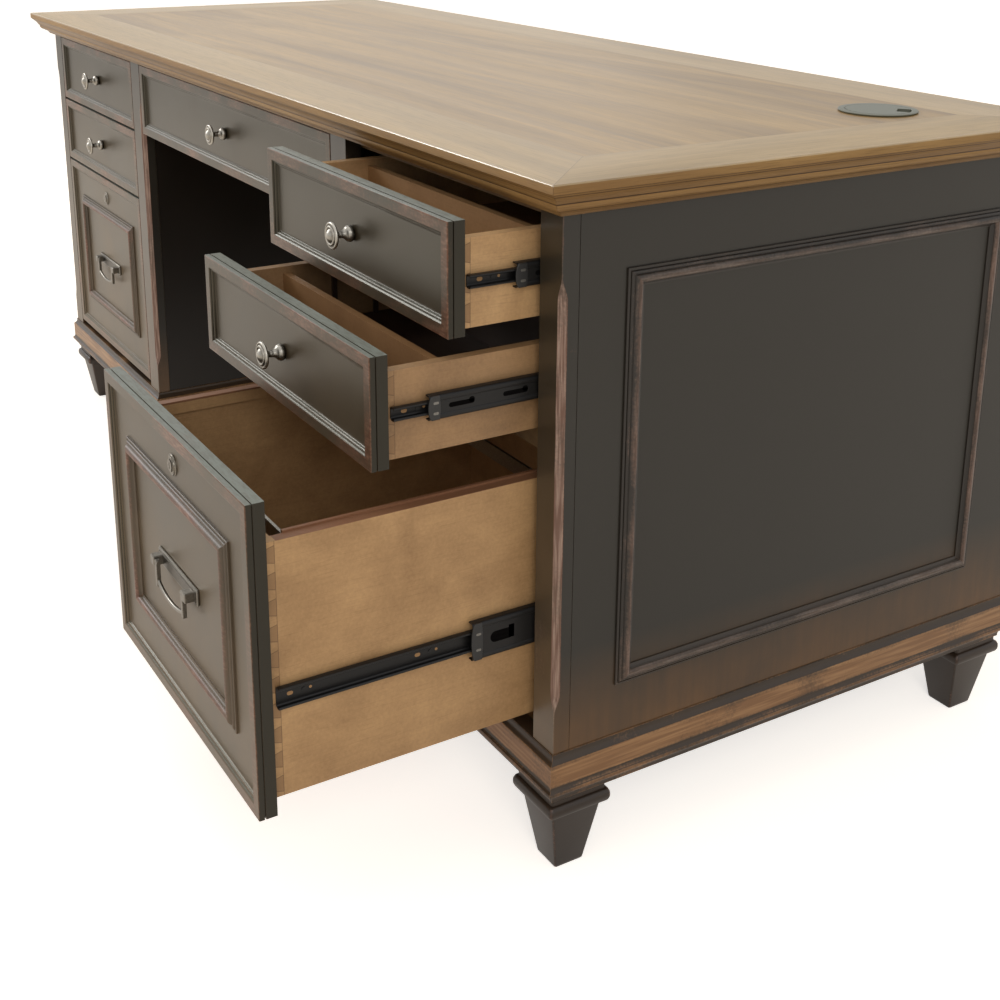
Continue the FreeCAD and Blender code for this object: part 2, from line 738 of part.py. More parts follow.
    def bail(self):
        """Bow handle hanging from its two pins: round rod along straight runs and tangent arcs."""
        y = face_y + panel_recess - bail_plate_thick - bail_pivot_reach
        half = bail_post_centres / 2
        x0, x1 = self.middle_x - half, self.middle_x + half
        z = self.middle_z
        low = z - bail_drop
        r = bail_corner
        arm = half - bail_post / 2 - bail_rod_radius - bail_pin_clearance
        left, right = self.middle_x - arm, self.middle_x + arm
        mid = r * (1 - math.sqrt(1 / 2))
        stops = [
            Vector(left, y, z), Vector(left, y, low + r), Vector(left + r, y, low),
            Vector(right - r, y, low), Vector(right, y, low + r), Vector(right, y, z)]
        runs = [
            Part.LineSegment(stops[0], stops[1]),
            Part.Arc(stops[1], Vector(left + mid, y, low + mid), stops[2]),
            Part.LineSegment(stops[2], stops[3]),
            Part.Arc(stops[3], Vector(right - mid, y, low + mid), stops[4]),
            Part.LineSegment(stops[4], stops[5])]
        path = Part.Wire([run.toShape() for run in runs])
        ring = Part.Wire([Part.makeCircle(bail_rod_radius, Vector(left, y, z), Vector(0, 0, 1))])
        rod = path.makePipeShell([ring], True, False)
        for start, end, corner in ((x0, left, left), (right, x1, right)):
            pin = Part.makeCylinder(bail_rod_radius, end - start, Vector(start, y, z), Vector(1, 0, 0))
            rod = rod.fuse(pin).fuse(Part.makeSphere(bail_rod_radius, Vector(corner, y, z)))
        return self.drawn(rod.removeSplitter().Solids, 2)

    def file_moulding(self):
        """Mitred moulding frame applied to the sunk panel of a file front."""
        m = file_moulding_margin
        ring = front_rectangle(
            face_y + panel_recess, self.x0 + m, self.x1 - m, self.z0 + m, self.z1 - m)
        return mitred_frame(ring, Vector(0, -1, 0), moulding_outline(file_moulding_width))

    def lock_round(self, radius, y0, y1):
        """A round bar on the lock's axis."""
        return Part.makeCylinder(radius, y1 - y0, Vector(self.middle_x, y0, self.lock_z), Vector(0, 1, 0))

    def lock_notch(self):
        """Square notch in the box's front board that the lock barrel passes through."""
        half = lock_barrel_radius + lock_clearance
        y1 = self.box_y0 + box_side_thick + overrun
        return block(self.middle_x - half, self.middle_x + half, self.box_y0 - overrun, y1,
                     self.lock_z - half, self.box_z1 + half)

    def lock_barrel(self):
        """Flanged lock barrel through the front, bored for the plug."""
        y = face_y + panel_recess
        end = y + lock_barrel_length
        barrel = self.lock_round(lock_flange_radius, y - lock_flange_thick, y)
        barrel = barrel.fuse(self.lock_round(lock_barrel_radius, y, end))
        start = y - lock_flange_thick - overrun
        bore = self.lock_round(lock_plug_radius + lock_clearance, start, end + overrun)
        return self.drawn(barrel.cut(bore).removeSplitter().Solids, 2)

    def lock_plug(self):
        """Key plug with its keyway, and the cam fixed on its inner end."""
        y = face_y + panel_recess
        face = y - lock_flange_thick - lock_plug_proud
        end = y + lock_barrel_length + lock_clearance
        plug = self.lock_round(lock_plug_radius, face, end)
        x, z = self.middle_x, self.lock_z
        wide, high = keyway_width / 2, keyway_height / 2
        keyway = block(x - wide, x + wide, face - overrun, face + keyway_depth, z - high, z + high)
        half = cam_width / 2
        cam = block(x - half, x + cam_length, end, end + cam_thick, z - half, z + half)
        return self.drawn([plug.cut(keyway), cam], 2)


def slide_cleats(drawers):
    """Wooden cleats that pack each pair of cabinet channels out from the side panels."""
    pieces = []
    for drawer in drawers:
        if drawer.name == "centre":
            continue
        half = drawer.heights[0] / 2 + cleat_margin
        for x, s in drawer.sides():
            outer = abs(x) == opening_outer
            panel = body_half - panel_thick if outer else knee_half + panel_thick
            xs = sorted((x, math.copysign(panel, x)))
            pieces.append(block(xs[0], xs[1], face_y + stile_thick, back_y - stile_thick,
                                drawer.slide_z - half, drawer.slide_z + half))
    return pieces


def export(node, solids):
    """Write one node as a group of separate solids."""
    Part.makeCompound(solids).exportStep(os.path.join("parts", node + ".step"))


os.makedirs("parts", exist_ok=True)
heights = {
    "top": (top_front_bottom, top_front_top),
    "middle": (middle_front_bottom, middle_front_top),
    "file": (file_front_bottom, file_front_top),
}
drawers = [Drawer("centre", -knee_half, knee_half, *heights["top"])]
for level, (low, high) in heights.items():
    drawers.append(Drawer("right_" + level, opening_inner, opening_outer, low, high))
    drawers.append(Drawer("left_" + level, -opening_outer, -opening_inner, low, high))

for drawer in drawers:
    export(drawer.name + "_front", drawer.front())
    export(drawer.name + "_box", drawer.box())
    export(drawer.name + "_drawer_channels", drawer.drawer_channels())
    export(drawer.name + "_middle_channels", drawer.middle_channels())
    if drawer.is_file:
        export(drawer.name + "_file_bars", drawer.file_bars())
        export(drawer.name + "_bail_plate", drawer.bail_plate())
        export(drawer.name + "_bail", drawer.bail())
        export(drawer.name + "_lock_barrel", drawer.lock_barrel())
        export(drawer.name + "_lock_plug", drawer.lock_plug())
    else:
        export(drawer.name + "_knob", drawer.knob())
        if drawer.name.endswith("middle"):
            dividers = drawer.dividers(middle_divider_setbacks) + drawer.wall_ribs()
            export(drawer.name + "_dividers", drawer.drawn(dividers, 2))

export("cabinet_channels", [shape for drawer in drawers for shape in drawer.cabinet_channels()])
export("slide_cleats", slide_cleats(drawers))
export("desktop_border", desktop_border())
export("desktop_field", desktop_field())
export("grommet_ring", grommet_ring())
export("grommet_cap", grommet_cap())
export("stiles", stiles())
export("side_panels", side_panels())
export("kneehole_panels", kneehole_panels())
export("back_panels", back_panels())
export("panel_mouldings", panel_mouldings())
export("carcase_boards", carcase_boards())
export("plinths", plinths())
export("feet", feet())
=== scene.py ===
import bpy
import bmesh
import math
import numpy as np
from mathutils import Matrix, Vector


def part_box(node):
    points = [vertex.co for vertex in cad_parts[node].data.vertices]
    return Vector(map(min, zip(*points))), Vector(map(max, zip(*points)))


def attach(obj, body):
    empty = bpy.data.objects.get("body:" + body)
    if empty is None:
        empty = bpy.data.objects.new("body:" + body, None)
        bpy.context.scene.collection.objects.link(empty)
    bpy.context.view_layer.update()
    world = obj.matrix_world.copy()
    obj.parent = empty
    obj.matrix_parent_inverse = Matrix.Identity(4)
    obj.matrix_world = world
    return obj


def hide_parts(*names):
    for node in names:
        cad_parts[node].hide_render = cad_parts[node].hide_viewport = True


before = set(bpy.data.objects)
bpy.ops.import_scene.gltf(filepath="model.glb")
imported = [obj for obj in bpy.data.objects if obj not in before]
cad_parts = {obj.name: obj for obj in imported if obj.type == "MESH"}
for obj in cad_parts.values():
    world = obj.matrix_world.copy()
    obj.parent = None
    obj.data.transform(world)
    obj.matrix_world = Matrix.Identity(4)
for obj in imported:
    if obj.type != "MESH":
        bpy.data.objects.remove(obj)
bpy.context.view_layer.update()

# Studio: a pale seamless floor, a softbox at the front left that draws the bright lines along the drawer
# fronts, one behind on the left for the sheen on the top, a weak one overhead and a fill from the right.
# The camera stands where the photographer did.
bpy.context.scene.view_settings.view_transform = "Standard"


def linear(hex_colour):
    """sRGB hex to linear RGBA: the power law above its toe, a straight line below it."""
    srgb = np.array([int(hex_colour[i:i + 2], 16) / 255 for i in (1, 3, 5)])
    rgb = np.where(srgb <= 0.04045, srgb / 12.92, ((srgb + 0.055) / 1.055) ** 2.4)
    return (*rgb.tolist(), 1.0)


def node(tree, kind, inputs=None, to=None, **settings):
    """Adds one node. An input takes a value, a socket, or a node whose first output in use is linked to it;
    'to' is the socket that the new node's own first output goes to."""
    made = tree.nodes.new(kind)
    for key, value in settings.items():
        setattr(made, key, value)
    for key, value in (inputs or {}).items():
        if isinstance(value, bpy.types.Node):
            value = next(socket for socket in value.outputs if socket.enabled)
        if isinstance(value, bpy.types.NodeSocket):
            tree.links.new(value, made.inputs[key])
        else:
            made.inputs[key].default_value = value
    if to is not None:
        tree.links.new(made.outputs[0], to)
    return made


def blank_material(name):
    """A new material, its empty node tree and the surface socket of its output."""
    material = bpy.data.materials.new(name)
    material.use_nodes = True
    tree = material.node_tree
    tree.nodes.clear()
    return material, tree, node(tree, "ShaderNodeOutputMaterial").inputs["Surface"]


floor_half, floor_drop = 40.0, 0.0006
floor_corners = [(x * floor_half, y * floor_half, -floor_drop)
                 for x, y in ((-1, -1), (1, -1), (1, 1), (-1, 1))]
floor_mesh = bpy.data.meshes.new("studio_floor")
floor_mesh.from_pydata(floor_corners, [], [(0, 1, 2, 3)])
floor = bpy.data.objects.new("studio_floor", floor_mesh)
bpy.context.collection.objects.link(floor)
# Matt paper, lit through so that the camera sees it almost white; reflections see it a little darker.
paper, tree, surface = blank_material("seamless_paper")
path = node(tree, "ShaderNodeLightPath")
seen = node(tree, "ShaderNodeMath",
            {0: path.outputs["Is Camera Ray"], 1: path.outputs["Is Transmission Ray"]}, operation="MAXIMUM")
lift = node(tree, "ShaderNodeMath", {0: seen, 1: 0.62}, operation="MULTIPLY")
lift = node(tree, "ShaderNodeMath", {0: path.outputs["Is Glossy Ray"], 1: 0.36, 2: lift},
            operation="MULTIPLY_ADD")
shade = node(tree, "ShaderNodeBsdfDiffuse", {"Color": linear("#f2e8da"), "Roughness": 1.0})
backlight = node(tree, "ShaderNodeEmission", {"Color": linear("#ffffff"), "Strength": lift})
node(tree, "ShaderNodeAddShader", {0: shade, 1: backlight}, to=surface)
floor_mesh.materials.append(paper)

# The air is white to the camera and to reflections, and weaker as light.
world = bpy.data.worlds.new("studio_air")
bpy.context.scene.world = world
world.use_nodes = True
tree = world.node_tree
tree.nodes.clear()
path = node(tree, "ShaderNodeLightPath")
seen = node(tree, "ShaderNodeMath",
            {0: path.outputs["Is Camera Ray"], 1: path.outputs["Is Transmission Ray"]}, operation="MAXIMUM")
seen = node(tree, "ShaderNodeMath", {0: seen, 1: path.outputs["Is Glossy Ray"]}, operation="MAXIMUM")
ambient = node(tree, "ShaderNodeBackground", {"Color": linear("#fffdfa"), "Strength": 0.60})
white = node(tree, "ShaderNodeBackground", {"Color": linear("#ffffff"), "Strength": 1.0})
node(tree, "ShaderNodeMixShader", {0: seen, 1: ambient, 2: white},
     to=node(tree, "ShaderNodeOutputWorld").inputs["Surface"])

for name, place, aim, width, height, power in (
        ("softbox_front_left", (-3.1, -2.0, 2.25), (0.4, -0.3, 0.5), 1.5, 1.3, 64),
        ("softbox_back_left", (-3.6, 1.7, 2.6), (0.2, 0.0, 0.6), 2.8, 1.8, 11),
        ("softbox_overhead", (0.2, -0.6, 3.6), (0.2, 0.0, 0.0), 3.0, 2.4, 14),
        ("softbox_right", (3.9, -1.7, 2.6), (0.7, -0.2, 0.4), 1.6, 1.6, 28)):
    lamp = bpy.data.lights.new(name, "AREA")
    lamp.shape = "RECTANGLE"
    lamp.size, lamp.size_y, lamp.energy = width, height, power
    lamp_object = bpy.data.objects.new(name, lamp)
    bpy.context.collection.objects.link(lamp_object)
    lamp_object.location = place
    way = np.array(aim) - np.array(place)
    tilt = math.atan2(math.hypot(way[0], way[1]), -way[2])
    lamp_object.rotation_euler = (tilt, 0, math.atan2(-way[0], way[1]))

sensor_width, focal_share = 36.0, 1.4408
looking_down, leaning, heading = 16.51, -0.38, 58.78
camera = bpy.data.cameras.new("photographer")
camera.sensor_width = sensor_width
camera.lens = sensor_width * focal_share
camera.shift_y = -0.2
camera_object = bpy.data.objects.new("photographer", camera)
bpy.context.collection.objects.link(camera_object)
camera_object.location = (1.95326, -0.90734, 1.0282)
camera_object.rotation_euler = (math.radians(90 - looking_down), math.radians(leaning), math.radians(heading))
bpy.context.scene.camera = camera_object

# Drawer fronts: poplar with a flat frame, a stuck bead and a sunk panel in one piece, painted black, glazed
# and rubbed through to brown along the arrises. Each is screwed to the box behind it.
DRAWERS = ("centre", "left_top", "left_middle", "left_file", "right_top", "right_middle", "right_file")
FILE_DRAWERS = tuple(drawer for drawer in DRAWERS if drawer.endswith("file"))
KNOB_DRAWERS = tuple(drawer for drawer in DRAWERS if drawer not in FILE_DRAWERS)
FRONT_THICKNESS = 0.019
# A section table is in millimetres: how far out, how far up and, in thousandths, how rubbed the finish is.
MM = 0.001


def rubbed_black_paint(name, worn="#643f30", pale="#8a6553", body="#29241a", glaze="#776550",
                       glaze_heights=(0.75, 0.1), streak=(0.012, 0.0025, 0.0025), wiped=None, upward_sheen=None,
                       shine=0.52, polish=(0.27, 0.42), gleam="#ffffff"):
    """Satin black paint brushed over stained wood: clouded over 140 mm, browner from the first glaze height
    down to the second, and worn through to streaky wood where the attribute 'rub' is high. On the drawer
    fronts the brown lower down is partly glaze and partly painted light."""
    # Real flecks are under a millimetre; they are drawn 3 mm wide so that they show.
    cloud_size, patch_size, fleck_size = 0.14, 0.09, 0.003
    material, tree, surface = blank_material(name)
    spot = node(tree, "ShaderNodeTexCoord")
    place = spot.outputs["Object"]
    axes = node(tree, "ShaderNodeSeparateXYZ", {0: place})
    cloud = node(tree, "ShaderNodeTexNoise",
                 {"Vector": place, "Scale": 1 / cloud_size, "Detail": 4.0, "Roughness": 0.6})
    height = node(tree, "ShaderNodeMapRange",
                  {"Value": axes.outputs["Z"], "From Min": glaze_heights[0], "From Max": glaze_heights[1]})
    uneven = node(tree, "ShaderNodeMapRange",
                  {"Value": cloud, "From Min": 0.25, "From Max": 0.7, "To Min": 0.35})
    # Browner lower down: brown glaze, and on the drawer fronts partly painted light that lightens the lower
    # drawers.
    brown = node(tree, "ShaderNodeMath", {0: height, 1: uneven}, operation="MULTIPLY")
    if wiped:
        # The glaze was wiped off along the board and is left in streaks.
        strokes = node(tree, "ShaderNodeVectorMath", {0: place, 1: tuple(1 / size for size in wiped)},
                       operation="MULTIPLY")
        strokes = node(tree, "ShaderNodeTexNoise",
                       {"Vector": strokes, "Scale": 1.0, "Detail": 3.0, "Roughness": 0.6})
        strokes = node(tree, "ShaderNodeMapRange",
                       {"Value": strokes, "From Min": 0.3, "From Max": 0.65, "To Min": 0.72})
        brown = node(tree, "ShaderNodeMath", {0: brown, 1: strokes}, operation="MULTIPLY")
    # Inputs 6 and 7 of a colour mix are its two colours.
    coat = node(tree, "ShaderNodeMix", {0: brown, 6: linear(body), 7: linear(glaze)}, data_type="RGBA")
    fibre = node(tree, "ShaderNodeVectorMath", {0: place, 1: tuple(1 / size for size in streak)},
                 operation="MULTIPLY")
    fibre = node(tree, "ShaderNodeTexNoise", {"Vector": fibre, "Scale": 1.0, "Detail": 3.0})
    fibre = node(tree, "ShaderNodeMapRange", {"Value": fibre, "From Min": 0.42, "From Max": 0.66})
    if upward_sheen:
        # Upward faces are painted lighter grey-green between the brush strokes:
        # a painted sheen of the light from above.
        facing = node(tree, "ShaderNodeSeparateXYZ", {0: spot.outputs["Normal"]})
        upward = node(tree, "ShaderNodeMath", {0: facing.outputs["Z"], 1: 0.9}, operation="GREATER_THAN")
        stroke = node(tree, "ShaderNodeMapRange", {"Value": fibre, "To Min": 1.0, "To Max": 0.55})
        thin = node(tree, "ShaderNodeMath", {0: upward, 1: stroke}, operation="MULTIPLY")
        coat = node(tree, "ShaderNodeMix", {0: thin, 6: coat, 7: linear(upward_sheen)}, data_type="RGBA")
        # The ends of a front are painted near black and take no brown glaze: painted shade on the faces
        # turned to the sides.
        shaded_ends = node(tree, "ShaderNodeMath", {0: facing.outputs["X"]}, operation="ABSOLUTE")
        shaded_ends = node(tree, "ShaderNodeMath", {0: shaded_ends, 1: 0.9}, operation="GREATER_THAN")
        coat = node(tree, "ShaderNodeMix", {0: shaded_ends, 6: coat, 7: linear("#1a1613")}, data_type="RGBA")
    # Rubbing follows the arrises in patches a hand's breadth long, broken up by the flecks.
    rub = node(tree, "ShaderNodeAttribute", attribute_name="rub").outputs["Fac"]
    patch = node(tree, "ShaderNodeTexNoise",
                 {"Vector": place, "Scale": 1 / patch_size, "Detail": 3.0, "Roughness": 0.55})
    fleck = node(tree, "ShaderNodeTexNoise",
                 {"Vector": place, "Scale": 1 / fleck_size, "Detail": 2.0, "Roughness": 0.6})
    patchy = node(tree, "ShaderNodeMath", {0: patch, 1: 1.7, 2: -1.0}, operation="MULTIPLY_ADD")
    flecked = node(tree, "ShaderNodeMath", {0: fleck, 1: 0.7, 2: patchy}, operation="MULTIPLY_ADD")
    amount = node(tree, "ShaderNodeMath", {0: rub, 1: flecked}, operation="ADD")
    bare = node(tree, "ShaderNodeMapRange", {"Value": amount, "From Min": 0.62, "From Max": 1.25})
    touched = node(tree, "ShaderNodeMath", {0: rub, 1: 4.0}, operation="MULTIPLY", use_clamp=True)
    bare = node(tree, "ShaderNodeMath", {0: bare, 1: touched}, operation="MULTIPLY")
    wood = node(tree, "ShaderNodeMix", {0: fibre, 6: linear(worn), 7: linear(pale)}, data_type="RGBA")
    colour = node(tree, "ShaderNodeMix", {0: bare, 6: coat, 7: wood}, data_type="RGBA")
    gloss = node(tree, "ShaderNodeMapRange", {"Value": cloud, "To Min": polish[0], "To Max": polish[1]})
    relief = node(tree, "ShaderNodeBump", {"Strength": 0.08, "Distance": 0.0004, "Height": fleck})
    node(tree, "ShaderNodeBsdfPrincipled",
         {"Base Color": colour, "Roughness": gloss, "IOR": 1.5, "Specular IOR Level": shine,
          "Specular Tint": linear(gleam), "Normal": relief}, to=surface)
    return material


def skin(rings, rub=0.0, caps=True):
    """Surface over a grid: ring m's point n is joined by quads to its neighbours, and the end rings are
    filled. Gives the points, the faces and the rub, one number or one for each point."""
    m, n = rings.shape[:2]
    index = np.arange(m * n).reshape(m, n)
    after = np.roll(index, -1, axis=1)
    faces = np.stack([index[:-1], after[:-1], after[1:], index[1:]], axis=-1).reshape(-1, 4).tolist()
    if caps:
        faces += [index[0, ::-1].tolist(), index[-1].tolist()]
    return rings.reshape(-1, 3), faces, rub


def piece(name, parts, material, body, nodes, crisp=32):
    """One object from (points, faces, rub) parts: joined, turned outwards, smooth with crisp arrises."""
    starts = np.cumsum([0] + [len(points) for points, _, _ in parts]).tolist()
    points = np.concatenate([points for points, _, _ in parts])
    faces = [[start + i for i in face] for (_, faces, _), start in zip(parts, starts) for face in faces]
    rub = np.concatenate([np.broadcast_to(rub, len(points)) for points, _, rub in parts])
    mesh = bpy.data.meshes.new(name)
    mesh.from_pydata(points.tolist(), [], faces)
    mesh.attributes.new("rub", "FLOAT", "POINT").data.foreach_set("value", rub.astype(np.float32))
    work = bmesh.new()
    work.from_mesh(mesh)
    bmesh.ops.recalc_face_normals(work, faces=work.faces)
    work.to_mesh(mesh)
    work.free()
    mesh.shade_smooth()
    mesh.set_sharp_from_angle(angle=math.radians(crisp))
    mesh.materials.append(material)
    made = bpy.data.objects.new(name, mesh)
    bpy.context.collection.objects.link(made)
    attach(made, body)
    if nodes:
        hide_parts(*nodes)
    return made


def arc(start, end, bulge, count=7):
    """Points on the circle from start to end that rises over its chord by bulge times half of it; the rub
    runs evenly along it. The arc turns four times as far as the angle whose tangent is the bulge."""
    a, b = np.array(start, float), np.array(end, float)
    t = np.linspace(0, 1, count)[:, None]
    sweep = 4 * math.atan(bulge)
    chord = b[:2] - a[:2]
    side = np.array([chord[1], -chord[0]])
    angle = (t - 0.5) * sweep
    radius = 0.5 / math.sin(sweep / 2)
    along = 0.5 + radius * np.sin(angle)
    across = radius * (np.cos(angle) - math.cos(sweep / 2))
    return np.hstack([a[:2] + along * chord + across * side, a[2:] + t * (b[2:] - a[2:])])


def framed_front(low, high):
    """A ring of four mitred corners for each point of the section, drawn in by its first number and standing
    out from the front's face by its second."""
    section = MM * np.vstack([
        [(0, -19, 100), (0, -7.4, 100), (-1.5, -7.4, 0), (-1.5, -6, 0), (0, -6, 150), (0, -1.6, 150)],
        arc((0, -0.9, 600), (-0.9, 0, 800), 0.41, 4),
        [(-1.8, 0, 560), (-11.0, 0, 560), (-11.8, 0, 640), (-12.0, -0.1, 100), (-13.3, -1.2, 100)],
        [(-13.5, -1.9, 0), (-14.2, -1.9, 0), (-14.5, -2.0, 100), (-15.9, -3.2, 100), (-16.1, -3.8, 0)],
        arc((-16.7, -3.8, 200), (-19.0, -5.5, 0), -0.35, 6),
        [(-20.5, -5.5, 0)]])
    inset, rise = -section[:, 0:1], section[:, 1:2]
    xs = np.hstack([low.x + inset, high.x - inset, high.x - inset, low.x + inset])
    zs = np.hstack([low.z + inset, low.z + inset, high.z - inset, high.z - inset])
    ys = np.broadcast_to(high.y - FRONT_THICKNESS - rise, xs.shape)
    return skin(np.stack([xs, ys, zs], axis=-1), np.repeat(section[:, 2], 4))


# The fronts get painted sheen on their upward faces, painted shade on their ends, and a brown lower down that
# is partly painted light on the lower drawers.
black_paint = rubbed_black_paint("rubbed_black_paint_on_poplar", upward_sheen="#6a7067", gleam="#e9e6d2")
for drawer in KNOB_DRAWERS:
    piece(drawer + "_front_painted", [framed_front(*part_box(drawer + "_front"))], black_paint,
          drawer + "_drawer", [drawer + "_front"])


# File drawer fronts: the same framed front in poplar, with four mitred lengths of a raised moulding glued and
# pinned on its panel. The moulding was rubbed by hand and is duller than the frame.
def mitred_lengths(corners, up, section, mitre):
    """A closed section carried along each side of a rectangle, clockwise seen from up. Its first number
    lengthens a side at both ends, which makes the mitres; 'mitre' is the rub on a thin line along them."""
    line = 0.0008
    corners, up = np.array(corners, float), np.array(up, float)
    out_by, rub = section[:, 0:1], section[:, 2]
    joint = np.maximum(rub, mitre)
    parts = []
    for start, end in zip(corners, np.roll(corners, -1, axis=0)):
        along = (end - start) / np.linalg.norm(end - start)
        shape = out_by * np.cross(up, along) + section[:, 1:2] * up
        rings = np.stack([start - out_by * along, start + (line - out_by) * along,
                          end + (out_by - line) * along, end + out_by * along])
        parts.append(skin(rings + shape, np.concatenate([joint, rub, rub, joint])))
    return parts


def raised_moulding(width):
    """Section of the planted moulding: a lip, a quirk, a small bead, a broad rounded nose and a cove."""
    return MM * np.vstack([
        [(-width, 0, 0), (0, 0, 0), (0, 2.0, 100), (-0.4, 2.5, 350)],
        [(-2.4, 2.5, 250), (-2.7, 1.6, 0), (-3.3, 1.6, 0)],
        arc((-3.5, 2.4, 300), (-6.2, 4.0, 500), 0.45, 6),
        [(-6.5, 3.7, 0), (-6.9, 4.0, 0)],
        arc((-7.1, 4.6, 400), (-11.2, 7.6, 800), 0.3, 6),
        arc((-11.8, 7.7, 850), (-15.6, 5.2, 650), 0.3, 6),
        [(-15.8, 4.3, 0)],
        arc((-16.3, 4.1, 200), (-width + 0.6, 1.5, 0), -0.3, 5),
        [(-width, 1.3, 0)]])


def other_finish(made, material, chosen):
    """Adds a material to a piece and gives it to the chosen faces."""
    made.data.materials.append(material)
    finish = np.empty(len(made.data.polygons), np.int32)
    made.data.polygons.foreach_get("material_index", finish)
    finish[chosen] = len(made.data.materials) - 1
    made.data.polygons.foreach_set("material_index", finish)


panel_sunk = 0.0055
moulding_from_end, moulding_from_rail, file_moulding_width = 0.059, 0.061, 19.0
MITRE_RUB = 0.8
dull_paint = rubbed_black_paint("rubbed_black_paint_on_file_mouldings", polish=(0.40, 0.52))
for drawer in FILE_DRAWERS:
    low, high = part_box(drawer + "_front")
    y = high.y - FRONT_THICKNESS + panel_sunk
    x0, x1 = low.x + moulding_from_end, high.x - moulding_from_end
    z0, z1 = low.z + moulding_from_rail, high.z - moulding_from_rail
    planted = mitred_lengths([(x0, y, z0), (x0, y, z1), (x1, y, z1), (x1, y, z0)], (0, -1, 0),
                             raised_moulding(file_moulding_width), MITRE_RUB)
    board = framed_front(low, high)
    made = piece(drawer + "_front_painted", [board] + planted, black_paint, drawer + "_drawer",
                 [drawer + "_front"])
    other_finish(made, dull_paint, np.arange(len(made.data.polygons)) >= len(board[1]))

# Pedestal stiles: poplar uprights at the corners, glued flush to the panels. The front corners have stopped
# chamfers that run out in a lamb's tongue and are rubbed down to pinkish brown wood.
stiles_low, stiles_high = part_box("stiles")
carcase_front, carcase_back = stiles_low.y, stiles_high.y
stile_thickness, front_gap, panel_thickness = 0.020, 0.002, 0.018
opening_low, opening_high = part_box("right_top_front")
outer_face, outer_inner = stiles_high.x, opening_high.x + front_gap
knee_face, knee_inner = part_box("kneehole_panels")[1].x - panel_thickness, opening_low.x - front_gap


def chamfered_post(corner, inner):
    """Rings up a post: a rectangle whose front corner is cut back by the softened arris at both ends and by
    the full chamfer between its stops. At a stop the chamfer grows by three times the square of the share of
    the tongue that is passed, less twice its cube."""
    stop_low, stop_high = stiles_low.z + 0.046, stiles_high.z - 0.062
    tongue, ringed = 0.022, 0.026
    arris, chamfer, band, seam, tiny = 0.0007, 0.0058, 0.001, 0.0007, 0.0005
    z = np.unique(np.concatenate([
        [stiles_low.z, stiles_high.z], np.linspace(stop_low, stop_low + ringed, 9),
        np.linspace(stop_high - ringed, stop_high, 9)]))
    rise = np.clip((z - stop_low) / tongue, 0, 1) * np.clip((stop_high - z) / tongue, 0, 1)
    cut = arris + chamfer * rise * rise * (3 - 2 * rise)
    worn = 0.6 + 0.45 * rise
    width, back = abs(corner - inner), stile_thickness
    across = np.broadcast_arrays(cut, 0, 0, 0, seam, width, width, width - tiny, cut + band)
    depth = np.broadcast_arrays(0, cut, cut + band, back - seam, back, back, tiny, 0, 0)
    rub = np.broadcast_arrays(worn, worn, 0.2, 0.2, 0, 0, 0.3, 0.3, 0.2)
    xs = corner - math.copysign(1, corner - inner) * np.stack(across, axis=1)
    ys = carcase_front + np.stack(depth, axis=1)
    rings = np.stack(np.broadcast_arrays(xs, ys, z[:, None]), axis=-1)
    return skin(rings, np.stack(rub, axis=1).reshape(-1))


rubbed_stile = rubbed_black_paint("rubbed_black_paint_on_stiles", worn="#6a4b3c", pale="#a08677",
                                  streak=(0.0022, 0.0022, 0.045))
posts = []
for side in (-1, 1):
    for corner, inner in ((outer_face, outer_inner), (knee_face, knee_inner)):
        posts.append(chamfered_post(side * corner, side * inner))
        x0, x1 = sorted((side * corner, side * inner))
        y0, y1 = carcase_back - stile_thickness, carcase_back
        rings = np.array([[(x0, y0, z), (x1, y0, z), (x1, y1, z), (x0, y1, z)]
                          for z in (stiles_low.z, stiles_high.z)])
        posts.append(skin(rings, 0.15))
stiles = piece("stiles_painted", posts, rubbed_stile, "carcase", ["stiles"])


# Side, kneehole and back panels: flat veneered boards let in between the stiles, in the same paint, brushed
# along the grain. Their brown glaze lies in streaks low down, and the stiles' flush faces go with them. The
# kneehole panels take a darker copy of the paint: painted shade inside the kneehole.
def face_normals(made):
    """The normal of each face of a piece, one row each."""
    normals = np.empty(3 * len(made.data.polygons), np.float32)
    made.data.polygons.foreach_get("normal", normals)
    return normals.reshape(-1, 3)


def dress(shown, material):
    """Gives a material to a CAD node that keeps its shape."""
    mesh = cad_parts[shown].data
    mesh.materials.clear()
    mesh.materials.append(material)


panel_paint = rubbed_black_paint("rubbed_black_paint_on_panels", body="#292620", glaze="#6f4f2e",
                                 glaze_heights=(0.27, 0.15), wiped=(0.014, 0.014, 0.16), shine=0.40)
# A darker copy of the paint for the kneehole panels: painted shade in the kneehole.
kneehole_shade_paint = rubbed_black_paint("black_paint_darkened_as_kneehole_shade", body="#17130f", glaze="#1d1711",
                                    shine=0.30)
facing = face_normals(stiles)
other_finish(stiles, panel_paint, (np.abs(facing[:, 0]) > 0.95) | (facing[:, 1] > 0.95))
dress("side_panels", panel_paint)
dress("kneehole_panels", kneehole_shade_paint)
dress("back_panels", panel_paint)

